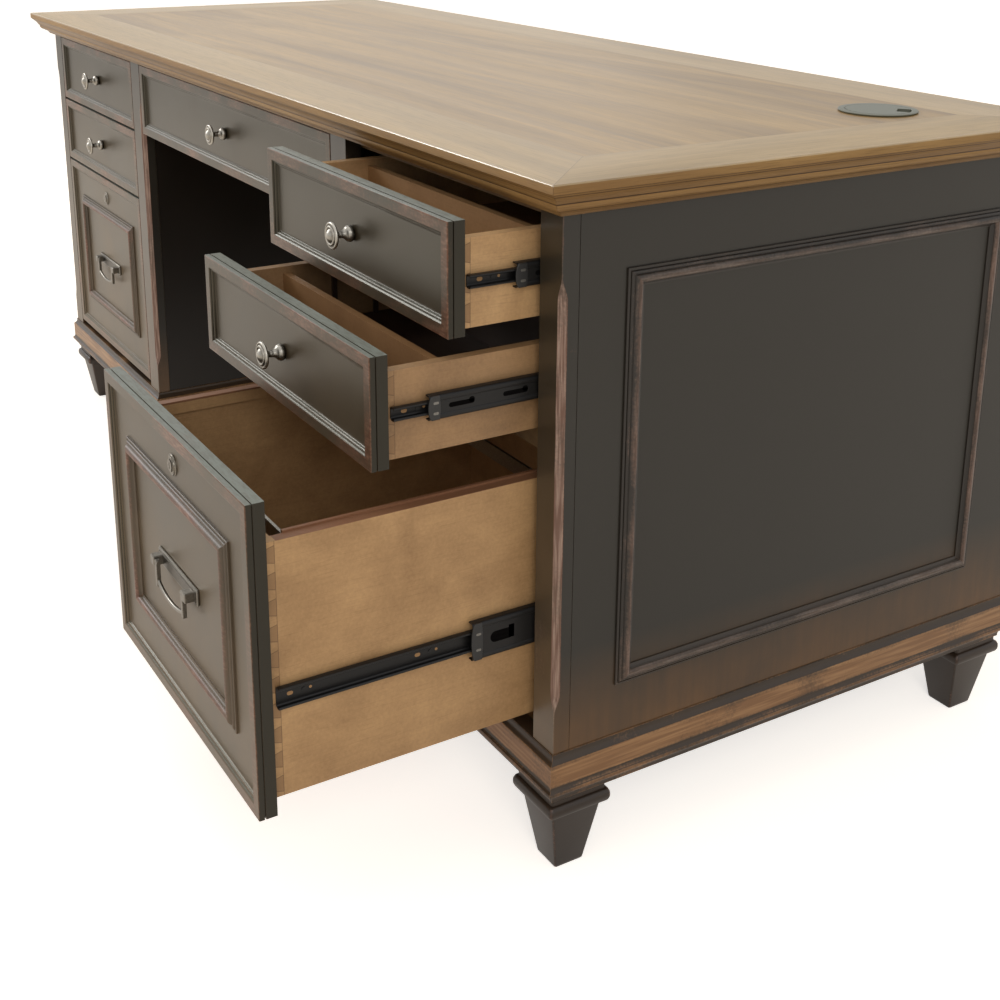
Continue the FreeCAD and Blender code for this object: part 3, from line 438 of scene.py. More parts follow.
# Planted mouldings: a mitred frame of poplar moulding, glued and pinned, on each side panel, back panel and
# the modesty panel. The nose is rubbed, and the streaks of the wood follow each length.
mouldings_low, mouldings_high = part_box("panel_mouldings")
z0, z1 = mouldings_low.z, mouldings_high.z
panel_moulding = raised_moulding(20.0)
y0, y1 = mouldings_low.y, carcase_back - (mouldings_low.y - carcase_front)
lengths = []
for side in (-1, 1):
    x = side * outer_face
    ring = [(x, y0, z0), (x, y0, z1), (x, y1, z1), (x, y1, z0)]
    lengths += mitred_lengths(ring[::side], (side, 0, 0), panel_moulding, MITRE_RUB)
from_stile = 0.060
back_frames = ((-outer_face + from_stile, -knee_face - from_stile),
               (-knee_face + from_stile, knee_face - from_stile),
               (knee_face + from_stile, outer_face - from_stile))
for x0, x1 in back_frames:
    ring = [(x1, carcase_back, z0), (x1, carcase_back, z1), (x0, carcase_back, z1), (x0, carcase_back, z0)]
    lengths += mitred_lengths(ring, (0, 1, 0), panel_moulding, MITRE_RUB)
moulding_coat = {"body": "#28231e", "glaze": "#4a3826", "glaze_heights": (0.27, 0.15), "shine": 0.42}
upright_paint = rubbed_black_paint("rubbed_black_paint_on_upright_mouldings", worn="#5f483c", pale="#866f62",
                                   streak=(0.0015, 0.0015, 0.03), **moulding_coat)
level_paint = rubbed_black_paint("rubbed_black_paint_on_level_mouldings", worn="#574539", pale="#75685f",
                                 streak=(0.03, 0.03, 0.0015), **moulding_coat)
mouldings = piece("panel_mouldings_painted", lengths, upright_paint, "carcase",
                  ["panel_mouldings"])
level = np.concatenate([np.full(len(faces), count % 2 == 1) for count, (_, faces, _) in enumerate(lengths)])
other_finish(mouldings, level_paint, level)

# Plinths: a moulded poplar base glued round each pedestal and mitred at the corners, with a cove over a
# fascia over a flared ridge. The fascia is rubbed almost to the wood.
plinth_section = MM * np.vstack([
    [(-18, 0, 0), (0.6, 0, 300), (1, 0.6, 500)],
    arc((1, 3, 250), (9.2, 12.4, 600), -0.3, 8),
    arc((9.6, 12.8, 700), (9.3, 16.6, 700), 0.24, 6),
    [(8.8, 17.2, 100), (8.3, 17.4, 500)],
    arc((8.0, 17.8, 500), (6.5, 21.4, 100), -0.3, 5),
    [(6.5, 22.0, 700), (6.5, 25.0, 1150), (6.5, 42.0, 1150), (6.5, 45.6, 850)],
    arc((6.4, 46.2, 950), (5.6, 47.0, 900), 0.3, 3),
    [(5.2, 47.2, 200)],
    arc((5.0, 47.6, 200), (1.6, 56.2, 250), -0.34, 8),
    [(1.2, 56.4, 600), (1.0, 57.0, 600), (-18, 57, 0)]])
plinth_paint = rubbed_black_paint("rubbed_black_paint_on_plinths", worn="#855f3c", pale="#a57d55",
                                  body="#2b231b", glaze="#3b2d20", streak=(0.10, 0.10, 0.004), shine=0.42)
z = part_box("plinths")[0].z
lengths = []
for side in (-1, 1):
    x0, x1 = sorted((side * knee_face, side * outer_face))
    ring = [(x0, carcase_front, z), (x0, carcase_back, z), (x1, carcase_back, z), (x1, carcase_front, z)]
    lengths += mitred_lengths(ring, (0, 0, 1), plinth_section, 1.0)
piece("plinths_painted", lengths, plinth_paint, "carcase", ["plinths"])


# Feet: tapered square poplar blocks with a rounded cap and a neck, shaped from one piece, painted black and
# dowelled into the pedestals' bottoms.
def rounded_square_stack(x, y, levels):
    """Rings of a square with rounded corners: each level gives half the side, the height, the corner's
    radius and the rub, which is strongest at the middle of a corner."""
    half, z, radius, rub = (levels[:, k:k + 1] for k in range(4))
    corner_rub = np.array([0.2, 0.8, 1.0, 0.8, 0.2])
    count = len(corner_rub)
    quarters = np.arange(4) * math.pi / 2
    angle = (quarters[:, None] + np.linspace(0, math.pi / 2, count)).reshape(1, -1)
    diagonal = np.repeat(quarters + math.pi / 4, count)[None, :]
    core = (half - radius) * math.sqrt(2)
    xs = x + core * np.cos(diagonal) + radius * np.cos(angle)
    ys = y + core * np.sin(diagonal) + radius * np.sin(angle)
    rings = np.stack([xs, ys, np.broadcast_to(z, xs.shape)], axis=-1)
    return skin(rings, (rub * np.tile(corner_rub, 4)).reshape(-1))


foot_levels = MM * np.array([
    (17.0, 0, 2.4, 300), (18.0, 1.2, 2.4, 600), (18.6, 4.0, 2.4, 500), (30.4, 73.5, 2.6, 500),
    (31.0, 76.0, 2.8, 500), (32.4, 77.0, 3.0, 0), (35.2, 77.2, 3.4, 600), (37.4, 78.6, 3.8, 700),
    (38.7, 81.4, 4.0, 800), (39.0, 84.6, 4.0, 800), (38.7, 87.8, 4.0, 800), (37.4, 90.6, 3.8, 800),
    (35.4, 92.0, 3.4, 500), (34.2, 92.3, 3.0, 0), (34.0, 99.0, 3.0, 0)])
foot_inset = 0.035
foot_paint = rubbed_black_paint("rubbed_black_paint_on_feet", worn="#55392c", body="#261e18", glaze="#33271d",
                                shine=0.42)
stacks = [rounded_square_stack(side * x, y, foot_levels) for side in (-1, 1)
          for x in (knee_face + foot_inset, outer_face - foot_inset)
          for y in (carcase_front + foot_inset, carcase_back - foot_inset)]
piece("feet_painted", stacks, foot_paint, "carcase", ["feet"])


# Top: a cherry-brown veneered field in a solid border with mitred corners, stained, oiled, hand rubbed and
# screwed down from inside. The border's edge is a square fascia with a polished arris, over a thin bead, a
# shallow cove, a larger bead and a small cove, glazed darker in the quirks between them.
def stained_veneer(name, follows_border=True, light="#ab8a54", mid="#7f6234", shine=0.46,
                   polish=(0.34, 0.46)):
    """Stained hardwood: figure 22 mm across in leaves of 140 mm, fine pores, and dark glaze by the attribute
    'glaze'. The grain runs along x, or along the boards by the attribute 'run'."""
    # Real pores are about a tenth of a millimetre; they are drawn 1.1 mm wide so that they show.
    figure_size, leaf_size, pore_size = (0.45, 0.022, 0.022), (1.1, 0.14, 0.14), (0.038, 0.0011, 0.0011)
    material, tree, surface = blank_material(name)
    if follows_border:
        run = node(tree, "ShaderNodeAttribute", attribute_name="run").outputs["Vector"]
    else:
        run = node(tree, "ShaderNodeTexCoord").outputs["Object"]
    figure, leaf, pore = (
        node(tree, "ShaderNodeVectorMath", {0: run, 1: tuple(1 / size for size in sizes)},
             operation="MULTIPLY")
        for sizes in (figure_size, leaf_size, pore_size))
    figure = node(tree, "ShaderNodeTexNoise",
                  {"Vector": figure, "Scale": 1.0, "Detail": 5.0, "Roughness": 0.62, "Distortion": 0.9})
    leaf = node(tree, "ShaderNodeTexNoise", {"Vector": leaf, "Scale": 1.0, "Detail": 3.0, "Distortion": 1.6})
    pore = node(tree, "ShaderNodeTexNoise", {"Vector": pore, "Scale": 1.0, "Detail": 2.0})
    tone = node(tree, "ShaderNodeMath", {0: figure, 1: leaf}, operation="ADD")
    tone = node(tree, "ShaderNodeMapRange", {"Value": tone, "From Min": 0.74, "From Max": 1.26})
    colour = node(tree, "ShaderNodeMix", {0: tone, 6: linear(mid), 7: linear(light)}, data_type="RGBA")
    pits = node(tree, "ShaderNodeMapRange",
                {"Value": pore, "From Min": 0.52, "From Max": 0.72, "To Max": 0.42})
    colour = node(tree, "ShaderNodeMix", {0: pits, 6: colour, 7: linear("#57401f")}, data_type="RGBA")
    glaze = node(tree, "ShaderNodeAttribute", attribute_name="glaze").outputs["Fac"]
    colour = node(tree, "ShaderNodeMix", {0: glaze, 6: colour, 7: linear("#3a2410")}, data_type="RGBA")
    relief = node(tree, "ShaderNodeBump", {"Strength": 0.10, "Distance": 0.0003, "Height": pore})
    gloss = node(tree, "ShaderNodeMapRange", {"Value": figure, "To Min": polish[0], "To Max": polish[1]})
    node(tree, "ShaderNodeBsdfPrincipled",
         {"Base Color": colour, "Roughness": gloss, "IOR": 1.5, "Specular IOR Level": shine,
          "Normal": relief}, to=surface)
    return material


border_section = MM * np.vstack([
    [(-100, 0, 500), (-27.5, 0, 500)],
    arc((-26.8, 0.4, 500), (-20.6, 5.6, 150), -0.3, 6),
    [(-20.2, 6.2, 1000), (-19.4, 6.6, 800)],
    arc((-19.0, 7.0, 300), (-12.6, 14.4, 0), 0.42, 9),
    [(-12.3, 14.8, 1100), (-10.9, 15.8, 1100)],
    arc((-10.6, 16.4, 350), (-4.9, 23.4, 100), -0.12, 7),
    [(-4.6, 23.8, 1100), (-3.3, 24.7, 500)],
    arc((-3.0, 25.2, 200), (-1.7, 26.2, 0), 0.3, 4),
    [(-1.6, 26.4, 1100), (-0.6, 27.0, 500), (0, 27.8, 100)],
    arc((0, 35.4, 0), (-1.6, 37, 0), 0.41, 4),
    [(-99.2, 37, 0), (-100, 37, 500)]])
low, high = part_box("desktop_border")
z = low.z
ring = [(low.x, low.y, z), (low.x, high.y, z), (high.x, high.y, z), (high.x, low.y, z)]
boards = mitred_lengths(ring, (0, 0, 1), border_section, 0.6)
edge_stain = stained_veneer("stained_cherry_edge", light="#a17f4e", mid="#82613a", shine=0.22)
border = piece("desktop_border_stained", boards, edge_stain, "carcase", ["desktop_border"])
upward = face_normals(border)[:, 2]
border_stain = {"light": "#b4986a", "mid": "#957a4c"}
other_finish(border, stained_veneer("stained_cherry_border", **border_stain), upward > 0.98)
polished_arris = stained_veneer("hand_polished_cherry_arris", shine=1.0, polish=(0.12, 0.20), **border_stain)
other_finish(border, polished_arris, (upward > 0.1) & (upward <= 0.98))
# The glaze follows the section's third number, and the grain runs along each board, end boards first.
glaze_share, board_shift = 0.9, (3.0, 5.0, 0.0)
glaze = np.concatenate([glaze_share * rub for _, _, rub in boards]).astype(np.float32)
run = np.concatenate([points + board_shift if count % 2 else points[:, [1, 0, 2]]
                      for count, (points, _, _) in enumerate(boards)]).astype(np.float32)
border.data.attributes.new("glaze", "FLOAT", "POINT").data.foreach_set("value", glaze)
border.data.attributes.new("run", "FLOAT_VECTOR", "POINT").data.foreach_set("vector", run.ravel())
dress("desktop_field", stained_veneer("stained_cherry_veneer", follows_border=False))


# Grommet: a flanged sleeve moulded in grey plastic and pressed into a hole in the top, and a cap with a cable
# notch that lies in the sleeve and turns.
def moulded_plastic(name, colour, rough):
    """Injection-moulded ABS or nylon: an even satin surface with the fine spark texture of its mould."""
    # Real spark texture is a tenth of a millimetre; it is drawn 0.8 mm wide so that it shows.
    spark_size = 0.0008
    material, tree, surface = blank_material(name)
    place = node(tree, "ShaderNodeTexCoord").outputs["Object"]
    spark = node(tree, "ShaderNodeTexNoise", {"Vector": place, "Scale": 1 / spark_size, "Detail": 2.0})
    relief = node(tree, "ShaderNodeBump", {"Strength": 0.12, "Distance": 0.0002, "Height": spark})
    gloss = node(tree, "ShaderNodeMapRange", {"Value": spark, "To Min": rough, "To Max": rough + 0.12})
    node(tree, "ShaderNodeBsdfPrincipled",
         {"Base Color": linear(colour), "Roughness": gloss, "IOR": 1.53, "Normal": relief}, to=surface)
    return material


def lathe(profile, seat, axis, count=56, caps=True):
    """A profile of radius, distance along the axis and rub, turned once round the axis through the seat."""
    axis = np.array(axis, float)
    side = np.array((0.0, 0.0, 1.0)) if abs(axis[2]) < 0.5 else np.array((1.0, 0.0, 0.0))
    third = np.cross(axis, side)
    angle = np.linspace(0, 2 * math.pi, count, endpoint=False)[None, :, None]
    radius, reach = profile[:, None, 0:1], profile[:, None, 1:2]
    rings = np.array(seat) + radius * (np.cos(angle) * side + np.sin(angle) * third) + reach * axis
    return skin(rings, np.repeat(profile[:, 2], count), caps)


grey_plastic = moulded_plastic("moulded_grey_plastic", "#67685a", 0.46)
sleeve = MM * np.vstack([
    [(35.0, -6.0, 0), (35.0, -25.0, 0), (40.0, -25.0, 0), (40.0, 0.0, 0), (44.6, 0.0, 0)],
    arc((46.0, 1.7, 0), (45.0, 2.5, 0), 0.3, 5),
    [(38.6, 2.5, 0), (38.0, 2.1, 0), (38.0, -6.0, 0), (35.0, -6.0, 0)]])
flange_rise = 0.0025
low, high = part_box("grommet_ring")
seat = ((low.x + high.x) / 2, (low.y + high.y) / 2, high.z - flange_rise)
piece("grommet_ring_moulded", [lathe(sleeve, seat, (0, 0, 1), 96, caps=False)], grey_plastic, "carcase",
      ["grommet_ring"])
dress("grommet_cap", grey_plastic)


# Drawer boxes: honey-stained birch boards, dovetailed at the corners, with a grooved-in bottom. The end grain
# of the pins shows darker in the sides and the file drawers have reddish rails along their rims. Shade is
# painted into the wood: browner and darker inside the boxes, almost black behind the middle drawers' first
# divider, lighter boards on the top and centre drawers and darker ones on the middle drawers.
def honey_birch(name, low, high, pitch, deep, pale, rail_share, inside_shade_share, divider_shade_share):
    """Stained birch: grain along each board, figure 17 mm across, mottling over 70 mm, and dovetail pins
    worked out from the distance to the board's end. The three shares say how strongly the rails are stained,
    how much painted shade darkens the inside, and how much painted shade blackens the box behind the first
    divider."""
    # Real pores and speckles are about a tenth of a millimetre; they are drawn 1.4 and 3.5 mm wide to show.
    figure_size, pore_size, mottle_size, speckle_size = (0.25, 0.017), (0.033, 0.0014), 0.07, 0.0035
    board, inside, shoulder_at, clear_end = 0.012, 0.0121, 0.0117, 0.013
    joint_line, shoulder_line, near_face = 0.0005, 0.0004, 0.0004
    rail_stain, near_rim, first_divider = 0.0023, 0.0005, 0.097
    # A pin is a trapezoid: half its height at the board's end, and what it gains at its base.
    pin_share, splay_share, board_shift = 0.22, 0.12, 3.0
    material, tree, surface = blank_material(name)
    spot = node(tree, "ShaderNodeTexCoord")
    place = spot.outputs["Object"]
    axes = node(tree, "ShaderNodeSeparateXYZ", {0: place})
    facing = node(tree, "ShaderNodeVectorMath", {0: spot.outputs["Normal"]}, operation="ABSOLUTE")
    facing = node(tree, "ShaderNodeSeparateXYZ", {0: facing})
    mottle = node(tree, "ShaderNodeTexNoise",
                  {"Vector": place, "Scale": 1 / mottle_size, "Detail": 4.0, "Roughness": 0.55,
                   "Distortion": 0.6})
    speckle = node(tree, "ShaderNodeTexNoise",
                   {"Vector": place, "Scale": 1 / speckle_size, "Detail": 3.0, "Roughness": 0.7})
    worked = {"x": axes.outputs["X"], "y": axes.outputs["Y"], "z": axes.outputs["Z"],
              "facing x": facing.outputs["X"], "facing z": facing.outputs["Z"]}
    # Each line works out one place or mask from those above it.
    for result, operation, *terms in (
            ("from left", "SUBTRACT", "x", low.x),
            ("from right", "SUBTRACT", high.x, "x"),
            ("from side", "MINIMUM", "from left", "from right"),
            ("from front", "SUBTRACT", "y", low.y),
            ("from back", "SUBTRACT", high.y, "y"),
            ("from end", "MINIMUM", "from front", "from back"),
            ("in a side", "LESS_THAN", "from side", inside),
            ("level", "GREATER_THAN", "facing z", 0.5),
            ("side rim", "MULTIPLY", "in a side", "level"),
            ("side face", "GREATER_THAN", "facing x", 0.5),
            ("lengthwise", "MAXIMUM", "side face", "side rim"),
            ("crosswise", "SUBTRACT", 1.0, "lengthwise"),
            ("along x", "MULTIPLY", "x", "crosswise"),
            ("along", "MULTIPLY_ADD", "y", "lengthwise", "along x"),
            ("x and y", "ADD", "x", "y"),
            ("all three", "ADD", "x and y", "z"),
            ("across", "SUBTRACT", "all three", "along"),
            ("outside", "LESS_THAN", "from side", near_face),
            ("near end", "LESS_THAN", "from end", board),
            ("joint", "MULTIPLY", "outside", "near end"),
            ("pin half", "MULTIPLY_ADD", "from end", splay_share * pitch / board, pin_share * pitch),
            ("height", "SUBTRACT", "z", low.z),
            ("turns", "DIVIDE", "height", pitch),
            ("turn", "FRACT", "turns"),
            ("from middle", "SUBTRACT", "turn", 0.5),
            ("share off", "ABSOLUTE", "from middle"),
            ("off", "MULTIPLY", "share off", pitch),
            ("in a pin", "LESS_THAN", "off", "pin half"),
            ("pin", "MULTIPLY", "joint", "in a pin"),
            ("past edge", "SUBTRACT", "off", "pin half"),
            ("from edge", "ABSOLUTE", "past edge"),
            ("edge", "LESS_THAN", "from edge", joint_line),
            ("past shoulder", "SUBTRACT", "from end", shoulder_at),
            ("from shoulder", "ABSOLUTE", "past shoulder"),
            ("shoulder", "LESS_THAN", "from shoulder", shoulder_line),
            ("edges", "MAXIMUM", "edge", "shoulder"),
            ("line", "MULTIPLY", "edges", "joint"),
            ("up in a rail", "GREATER_THAN", "z", high.z - rail_stain),
            ("clear of ends", "GREATER_THAN", "from end", clear_end),
            ("rail", "MULTIPLY", "up in a rail", "clear of ends"),
            ("between sides", "GREATER_THAN", "from side", inside),
            ("below rim", "LESS_THAN", "z", high.z - near_rim),
            ("in the box", "MULTIPLY", "between sides", "below rim"),
            # The inside faces take painted shade, browner and darker than the outside.
            ("between ends", "GREATER_THAN", "from end", inside),
            ("inside", "MULTIPLY", "in the box", "between ends"),
            # Behind the first divider the box is painted almost black: painted shade.
            ("behind divider", "GREATER_THAN", "from front", first_divider),
            ("shade behind divider", "MULTIPLY", "in the box", "behind divider")):
        inputs = dict(enumerate(worked[term] if isinstance(term, str) else term for term in terms))
        worked[result] = node(tree, "ShaderNodeMath", inputs, operation=operation)
    run = node(tree, "ShaderNodeCombineXYZ",
               {0: worked["along"], 1: worked["across"], 2: worked["lengthwise"]})
    figure, pore = (
        node(tree, "ShaderNodeVectorMath", {0: run, 1: (1 / long, 1 / wide, board_shift)},
             operation="MULTIPLY")
        for long, wide in (figure_size, pore_size))
    figure = node(tree, "ShaderNodeTexNoise",
                  {"Vector": figure, "Scale": 1.0, "Detail": 5.0, "Roughness": 0.6, "Distortion": 1.2})
    pore = node(tree, "ShaderNodeTexNoise", {"Vector": pore, "Scale": 1.0, "Detail": 2.0})
    tone = node(tree, "ShaderNodeMath", {0: figure, 1: 0.24}, operation="MULTIPLY")
    tone = node(tree, "ShaderNodeMath", {0: mottle, 1: 0.95, 2: tone}, operation="MULTIPLY_ADD")
    tone = node(tree, "ShaderNodeMath", {0: speckle, 1: 0.44, 2: tone}, operation="MULTIPLY_ADD")
    tone = node(tree, "ShaderNodeMapRange", {"Value": tone, "From Min": 0.42, "From Max": 1.20})
    colour = node(tree, "ShaderNodeMix", {0: tone, 6: linear(deep), 7: linear(pale)}, data_type="RGBA")
    pits = node(tree, "ShaderNodeMapRange",
                {"Value": pore, "From Min": 0.55, "From Max": 0.75, "To Max": 0.25})
    colour = node(tree, "ShaderNodeMix", {0: pits, 6: colour, 7: linear("#7d5a34")}, data_type="RGBA")
    # End grain, glue lines and redder rails, then painted shade: a browner, darker inside and almost black
    # back compartments.
    for mask, share, tint in (
            ("pin", 0.7, "#8a6845"), ("line", 0.5, "#4a3018"), ("rail", rail_share, "#7a4f38"),
            ("inside", inside_shade_share, "#7c5227"), ("shade behind divider", divider_shade_share, "#2a1d17")):
        covered = node(tree, "ShaderNodeMath", {0: worked[mask], 1: share}, operation="MULTIPLY")
        colour = node(tree, "ShaderNodeMix", {0: covered, 6: colour, 7: linear(tint)}, data_type="RGBA")
    relief = node(tree, "ShaderNodeBump", {"Strength": 0.10, "Distance": 0.0003, "Height": pore})
    gloss = node(tree, "ShaderNodeMapRange", {"Value": figure, "To Min": 0.42, "To Max": 0.56})
    node(tree, "ShaderNodeBsdfPrincipled",
         {"Base Color": colour, "Roughness": gloss, "IOR": 1.5, "Normal": relief}, to=surface)
    return material


rail_rise, usual_pitch = 0.002, 0.027
for drawer in DRAWERS:
    low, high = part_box(drawer + "_box")
    side_height = high.z - low.z
    # The boards' tones carry painted light and shade: the top and centre drawers are painted lighter against
    # the desktop's shadow, and the middle drawers darker, as painted shade under the drawers above.
    deep, pale, stains_and_shade = "#a27d54", "#dcb381", (0.0, 0.5, 0.0)
    if drawer in FILE_DRAWERS:
        side_height -= rail_rise
        deep, pale, stains_and_shade = "#8f6c46", "#cba373", (0.85, 0.0, 0.0)
    has_dividers = drawer.endswith("middle")
    if has_dividers:
        deep, pale, stains_and_shade = "#775a3d", "#b38d63", (0.0, 0.5, 0.9)
    pitch = side_height / round(side_height / usual_pitch)
    birch = honey_birch("honey_birch_" + drawer, low, high, pitch, deep, pale, *stains_and_shade)
    dress(drawer + "_box", birch)
    if has_dividers:
        dress(drawer + "_dividers", birch)


# Hidden carcase: plywood tops and bottoms, the lock rails, and softwood cleats that carry the slides, sawn,
# screwed in place and left without a finish.
def plain_timber(name, pale, deep):
    """Sawn timber: dull and a little rough, with growth lines 11 mm apart along the boards' depth."""
    growth_size = (0.011, 0.2, 0.011)
    material, tree, surface = blank_material(name)
    place = node(tree, "ShaderNodeTexCoord").outputs["Object"]
    growth = node(tree, "ShaderNodeVectorMath", {0: place, 1: tuple(1 / size for size in growth_size)},
                  operation="MULTIPLY")
    growth = node(tree, "ShaderNodeTexNoise", {"Vector": growth, "Scale": 1.0, "Detail": 4.0})
    colour = node(tree, "ShaderNodeMix", {0: growth, 6: linear(deep), 7: linear(pale)}, data_type="RGBA")
    relief = node(tree, "ShaderNodeBump", {"Strength": 0.15, "Distance": 0.0003, "Height": growth})
    node(tree, "ShaderNodeBsdfPrincipled", {"Base Color": colour, "Roughness": 0.72, "Normal": relief},
         to=surface)
    return material


timber = plain_timber("sawn_poplar_and_plywood", "#8a6e49", "#5d452b")
dress("carcase_boards", timber)
dress("slide_cleats", timber)

# Slides: three channels a side, pressed from steel sheet with a black electrophoretic coat, running on caged
# balls. The middle one has slots and a nylon catch with two spring clips, and the inner one is screwed to the
# drawer's side.
SHEET = 0.0012


def black_coated_steel(name, colour, rough, shine=0.34):
    """Black-coated pressed steel: a thin satin coat with faint rolling streaks 40 mm long."""
    streak_size = (0.0017, 0.04, 0.0017)
    material, tree, surface = blank_material(name)
    place = node(tree, "ShaderNodeTexCoord").outputs["Object"]
    streak = node(tree, "ShaderNodeVectorMath", {0: place, 1: tuple(1 / size for size in streak_size)},
                  operation="MULTIPLY")
    streak = node(tree, "ShaderNodeTexNoise", {"Vector": streak, "Scale": 1.0, "Detail": 3.0})
    gloss = node(tree, "ShaderNodeMapRange", {"Value": streak, "To Min": rough - 0.08, "To Max": rough + 0.1})
    tint = node(tree, "ShaderNodeMix", {0: streak, 6: linear(colour), 7: linear("#171616")}, data_type="RGBA")
    node(tree, "ShaderNodeBsdfPrincipled",
         {"Base Color": tint, "Roughness": gloss, "IOR": 1.5, "Specular IOR Level": shine}, to=surface)
    return material


def satin_plating(name, colour):
    """Bright plating on steel or brass, satin from tumbling, its gloss clouded over 1.5 mm."""
    haze_size = 0.0015
    material, tree, surface = blank_material(name)
    place = node(tree, "ShaderNodeTexCoord").outputs["Object"]
    haze = node(tree, "ShaderNodeTexNoise", {"Vector": place, "Scale": 1 / haze_size, "Detail": 3.0})
    gloss = node(tree, "ShaderNodeMapRange", {"Value": haze, "To Min": 0.22, "To Max": 0.42})
    tint = node(tree, "ShaderNodeMix", {0: haze, 6: linear(colour), 7: linear("#5d5850")}, data_type="RGBA")
    node(tree, "ShaderNodeBsdfPrincipled", {"Base Color": tint, "Metallic": 1.0, "Roughness": gloss},
         to=surface)
    return material


def pressed_channel(fold, half, mount, side, z, y0, y1):
    """Folded sheet: a centre line of depth from the mount and drop from the lip, run on to mid-height,
    mirrored below, thickened both ways along its normals and drawn from y0 to y1."""
    near_middle = 0.0010
    upper = np.column_stack([fold[:, 0], half - SHEET / 2 - fold[:, 1]])
    upper = np.vstack([upper, (fold[-1, 0], near_middle)])
    line = np.vstack([upper, upper[::-1] * np.array([1, -1])])
    step = np.gradient(line, axis=0)
    normal = np.stack([-step[:, 1], step[:, 0]], axis=1) / np.linalg.norm(step, axis=1)[:, None]
    outline = np.vstack([line + SHEET / 2 * normal, (line - SHEET / 2 * normal)[::-1]])
    ends = np.array([[y0], [y1]])
    rings = np.broadcast_arrays(mount - side * outline[:, 0], ends, z + outline[:, 1])
    return skin(np.stack(rings, axis=-1))


def obround(mount, side, depth, y, z, length, height, proud=0.0001, count=24):
    """A flat stadium on the sheet: a circle whose halves are pulled apart along the slide, in two rings."""
    angle = np.linspace(0, 2 * math.pi, count, endpoint=False) + math.pi / count
    spread = np.sign(np.cos(angle)) * (length - height) / 2
    xs = mount - side * np.array([[depth], [depth - proud]])
    ys, zs = y + spread + height / 2 * np.cos(angle), z + height / 2 * np.sin(angle)
    return skin(np.stack(np.broadcast_arrays(xs, ys, zs), axis=-1))


def end_catch(mount, side, y, z, half):
    """Moulded end stop: a block with a front bowed as an ellipse, its outline drawn in at the two faces."""
    spring, bow, fullness = 0.004, 0.0055, 0.86
    shoulder, heel, heel_share, centre = 0.0105, 0.0115, 0.4, 0.005
    t = np.linspace(-1, 1, 13)
    nose = np.stack([spring - bow * np.sqrt(1 - fullness * t ** 2), half * t], axis=1)
    back = [(shoulder, half), (heel, heel_share * half), (heel, -heel_share * half), (shoulder, -half)]
    outline = np.vstack([nose, back])
    depth = MM * np.array([[1.4], [1.9], [3.6], [4.1]])
    drawn_in = np.array([[0.94], [1.0], [1.0], [0.94]])
    ys, zs = y + centre + drawn_in * (outline[:, 0] - centre), z + drawn_in * outline[:, 1]
    return skin(np.stack(np.broadcast_arrays(mount - side * depth, ys, zs), axis=-1))


middle_fold = MM * np.vstack([
    [(10.4, 0), (8.5, 0), (6.6, 0)],
    arc((5.0, 0, 0), (2.7, 2.3, 0), -0.414)[:, :2],
    [(2.6, 4.2), (2.9, 4.8), (3.5, 5.4), (3.6, 6.4)]])
drawer_fold = MM * np.vstack([
    [(5.6, 1.6), (4.9, 1.0), (5.0, 0.3), (5.8, 0), (7.5, 0)],
    arc((9.4, 0, 0), (12.1, 2.7, 0), 0.414)[:, :2],
    [(12.1, 4.4)]])
middle_web, drawer_web = middle_fold[-1, 0] - SHEET / 2, drawer_fold[-1, 0] - SHEET / 2
middle_from_mount, drawer_from_mount = 0.0020, 0.0042
# Slots along the middle channel, each with a short tab, as high as a share of the web between the folds.
folds, slot_starts, slot_length, slot_share = 0.014, (0.035, 0.095, 0.220, 0.360), 0.028, 0.44
tab_from_slot, tab_lift, tab_length, tab_share = 0.011, 0.0016, 0.0062, 0.52
catch_gap, clip_depth, clip_from_end, clip_share = 0.0004, 0.0017, 0.0064, 0.42
clip_length, clip_height, clip_proud = 0.0058, 0.0026, 0.0004
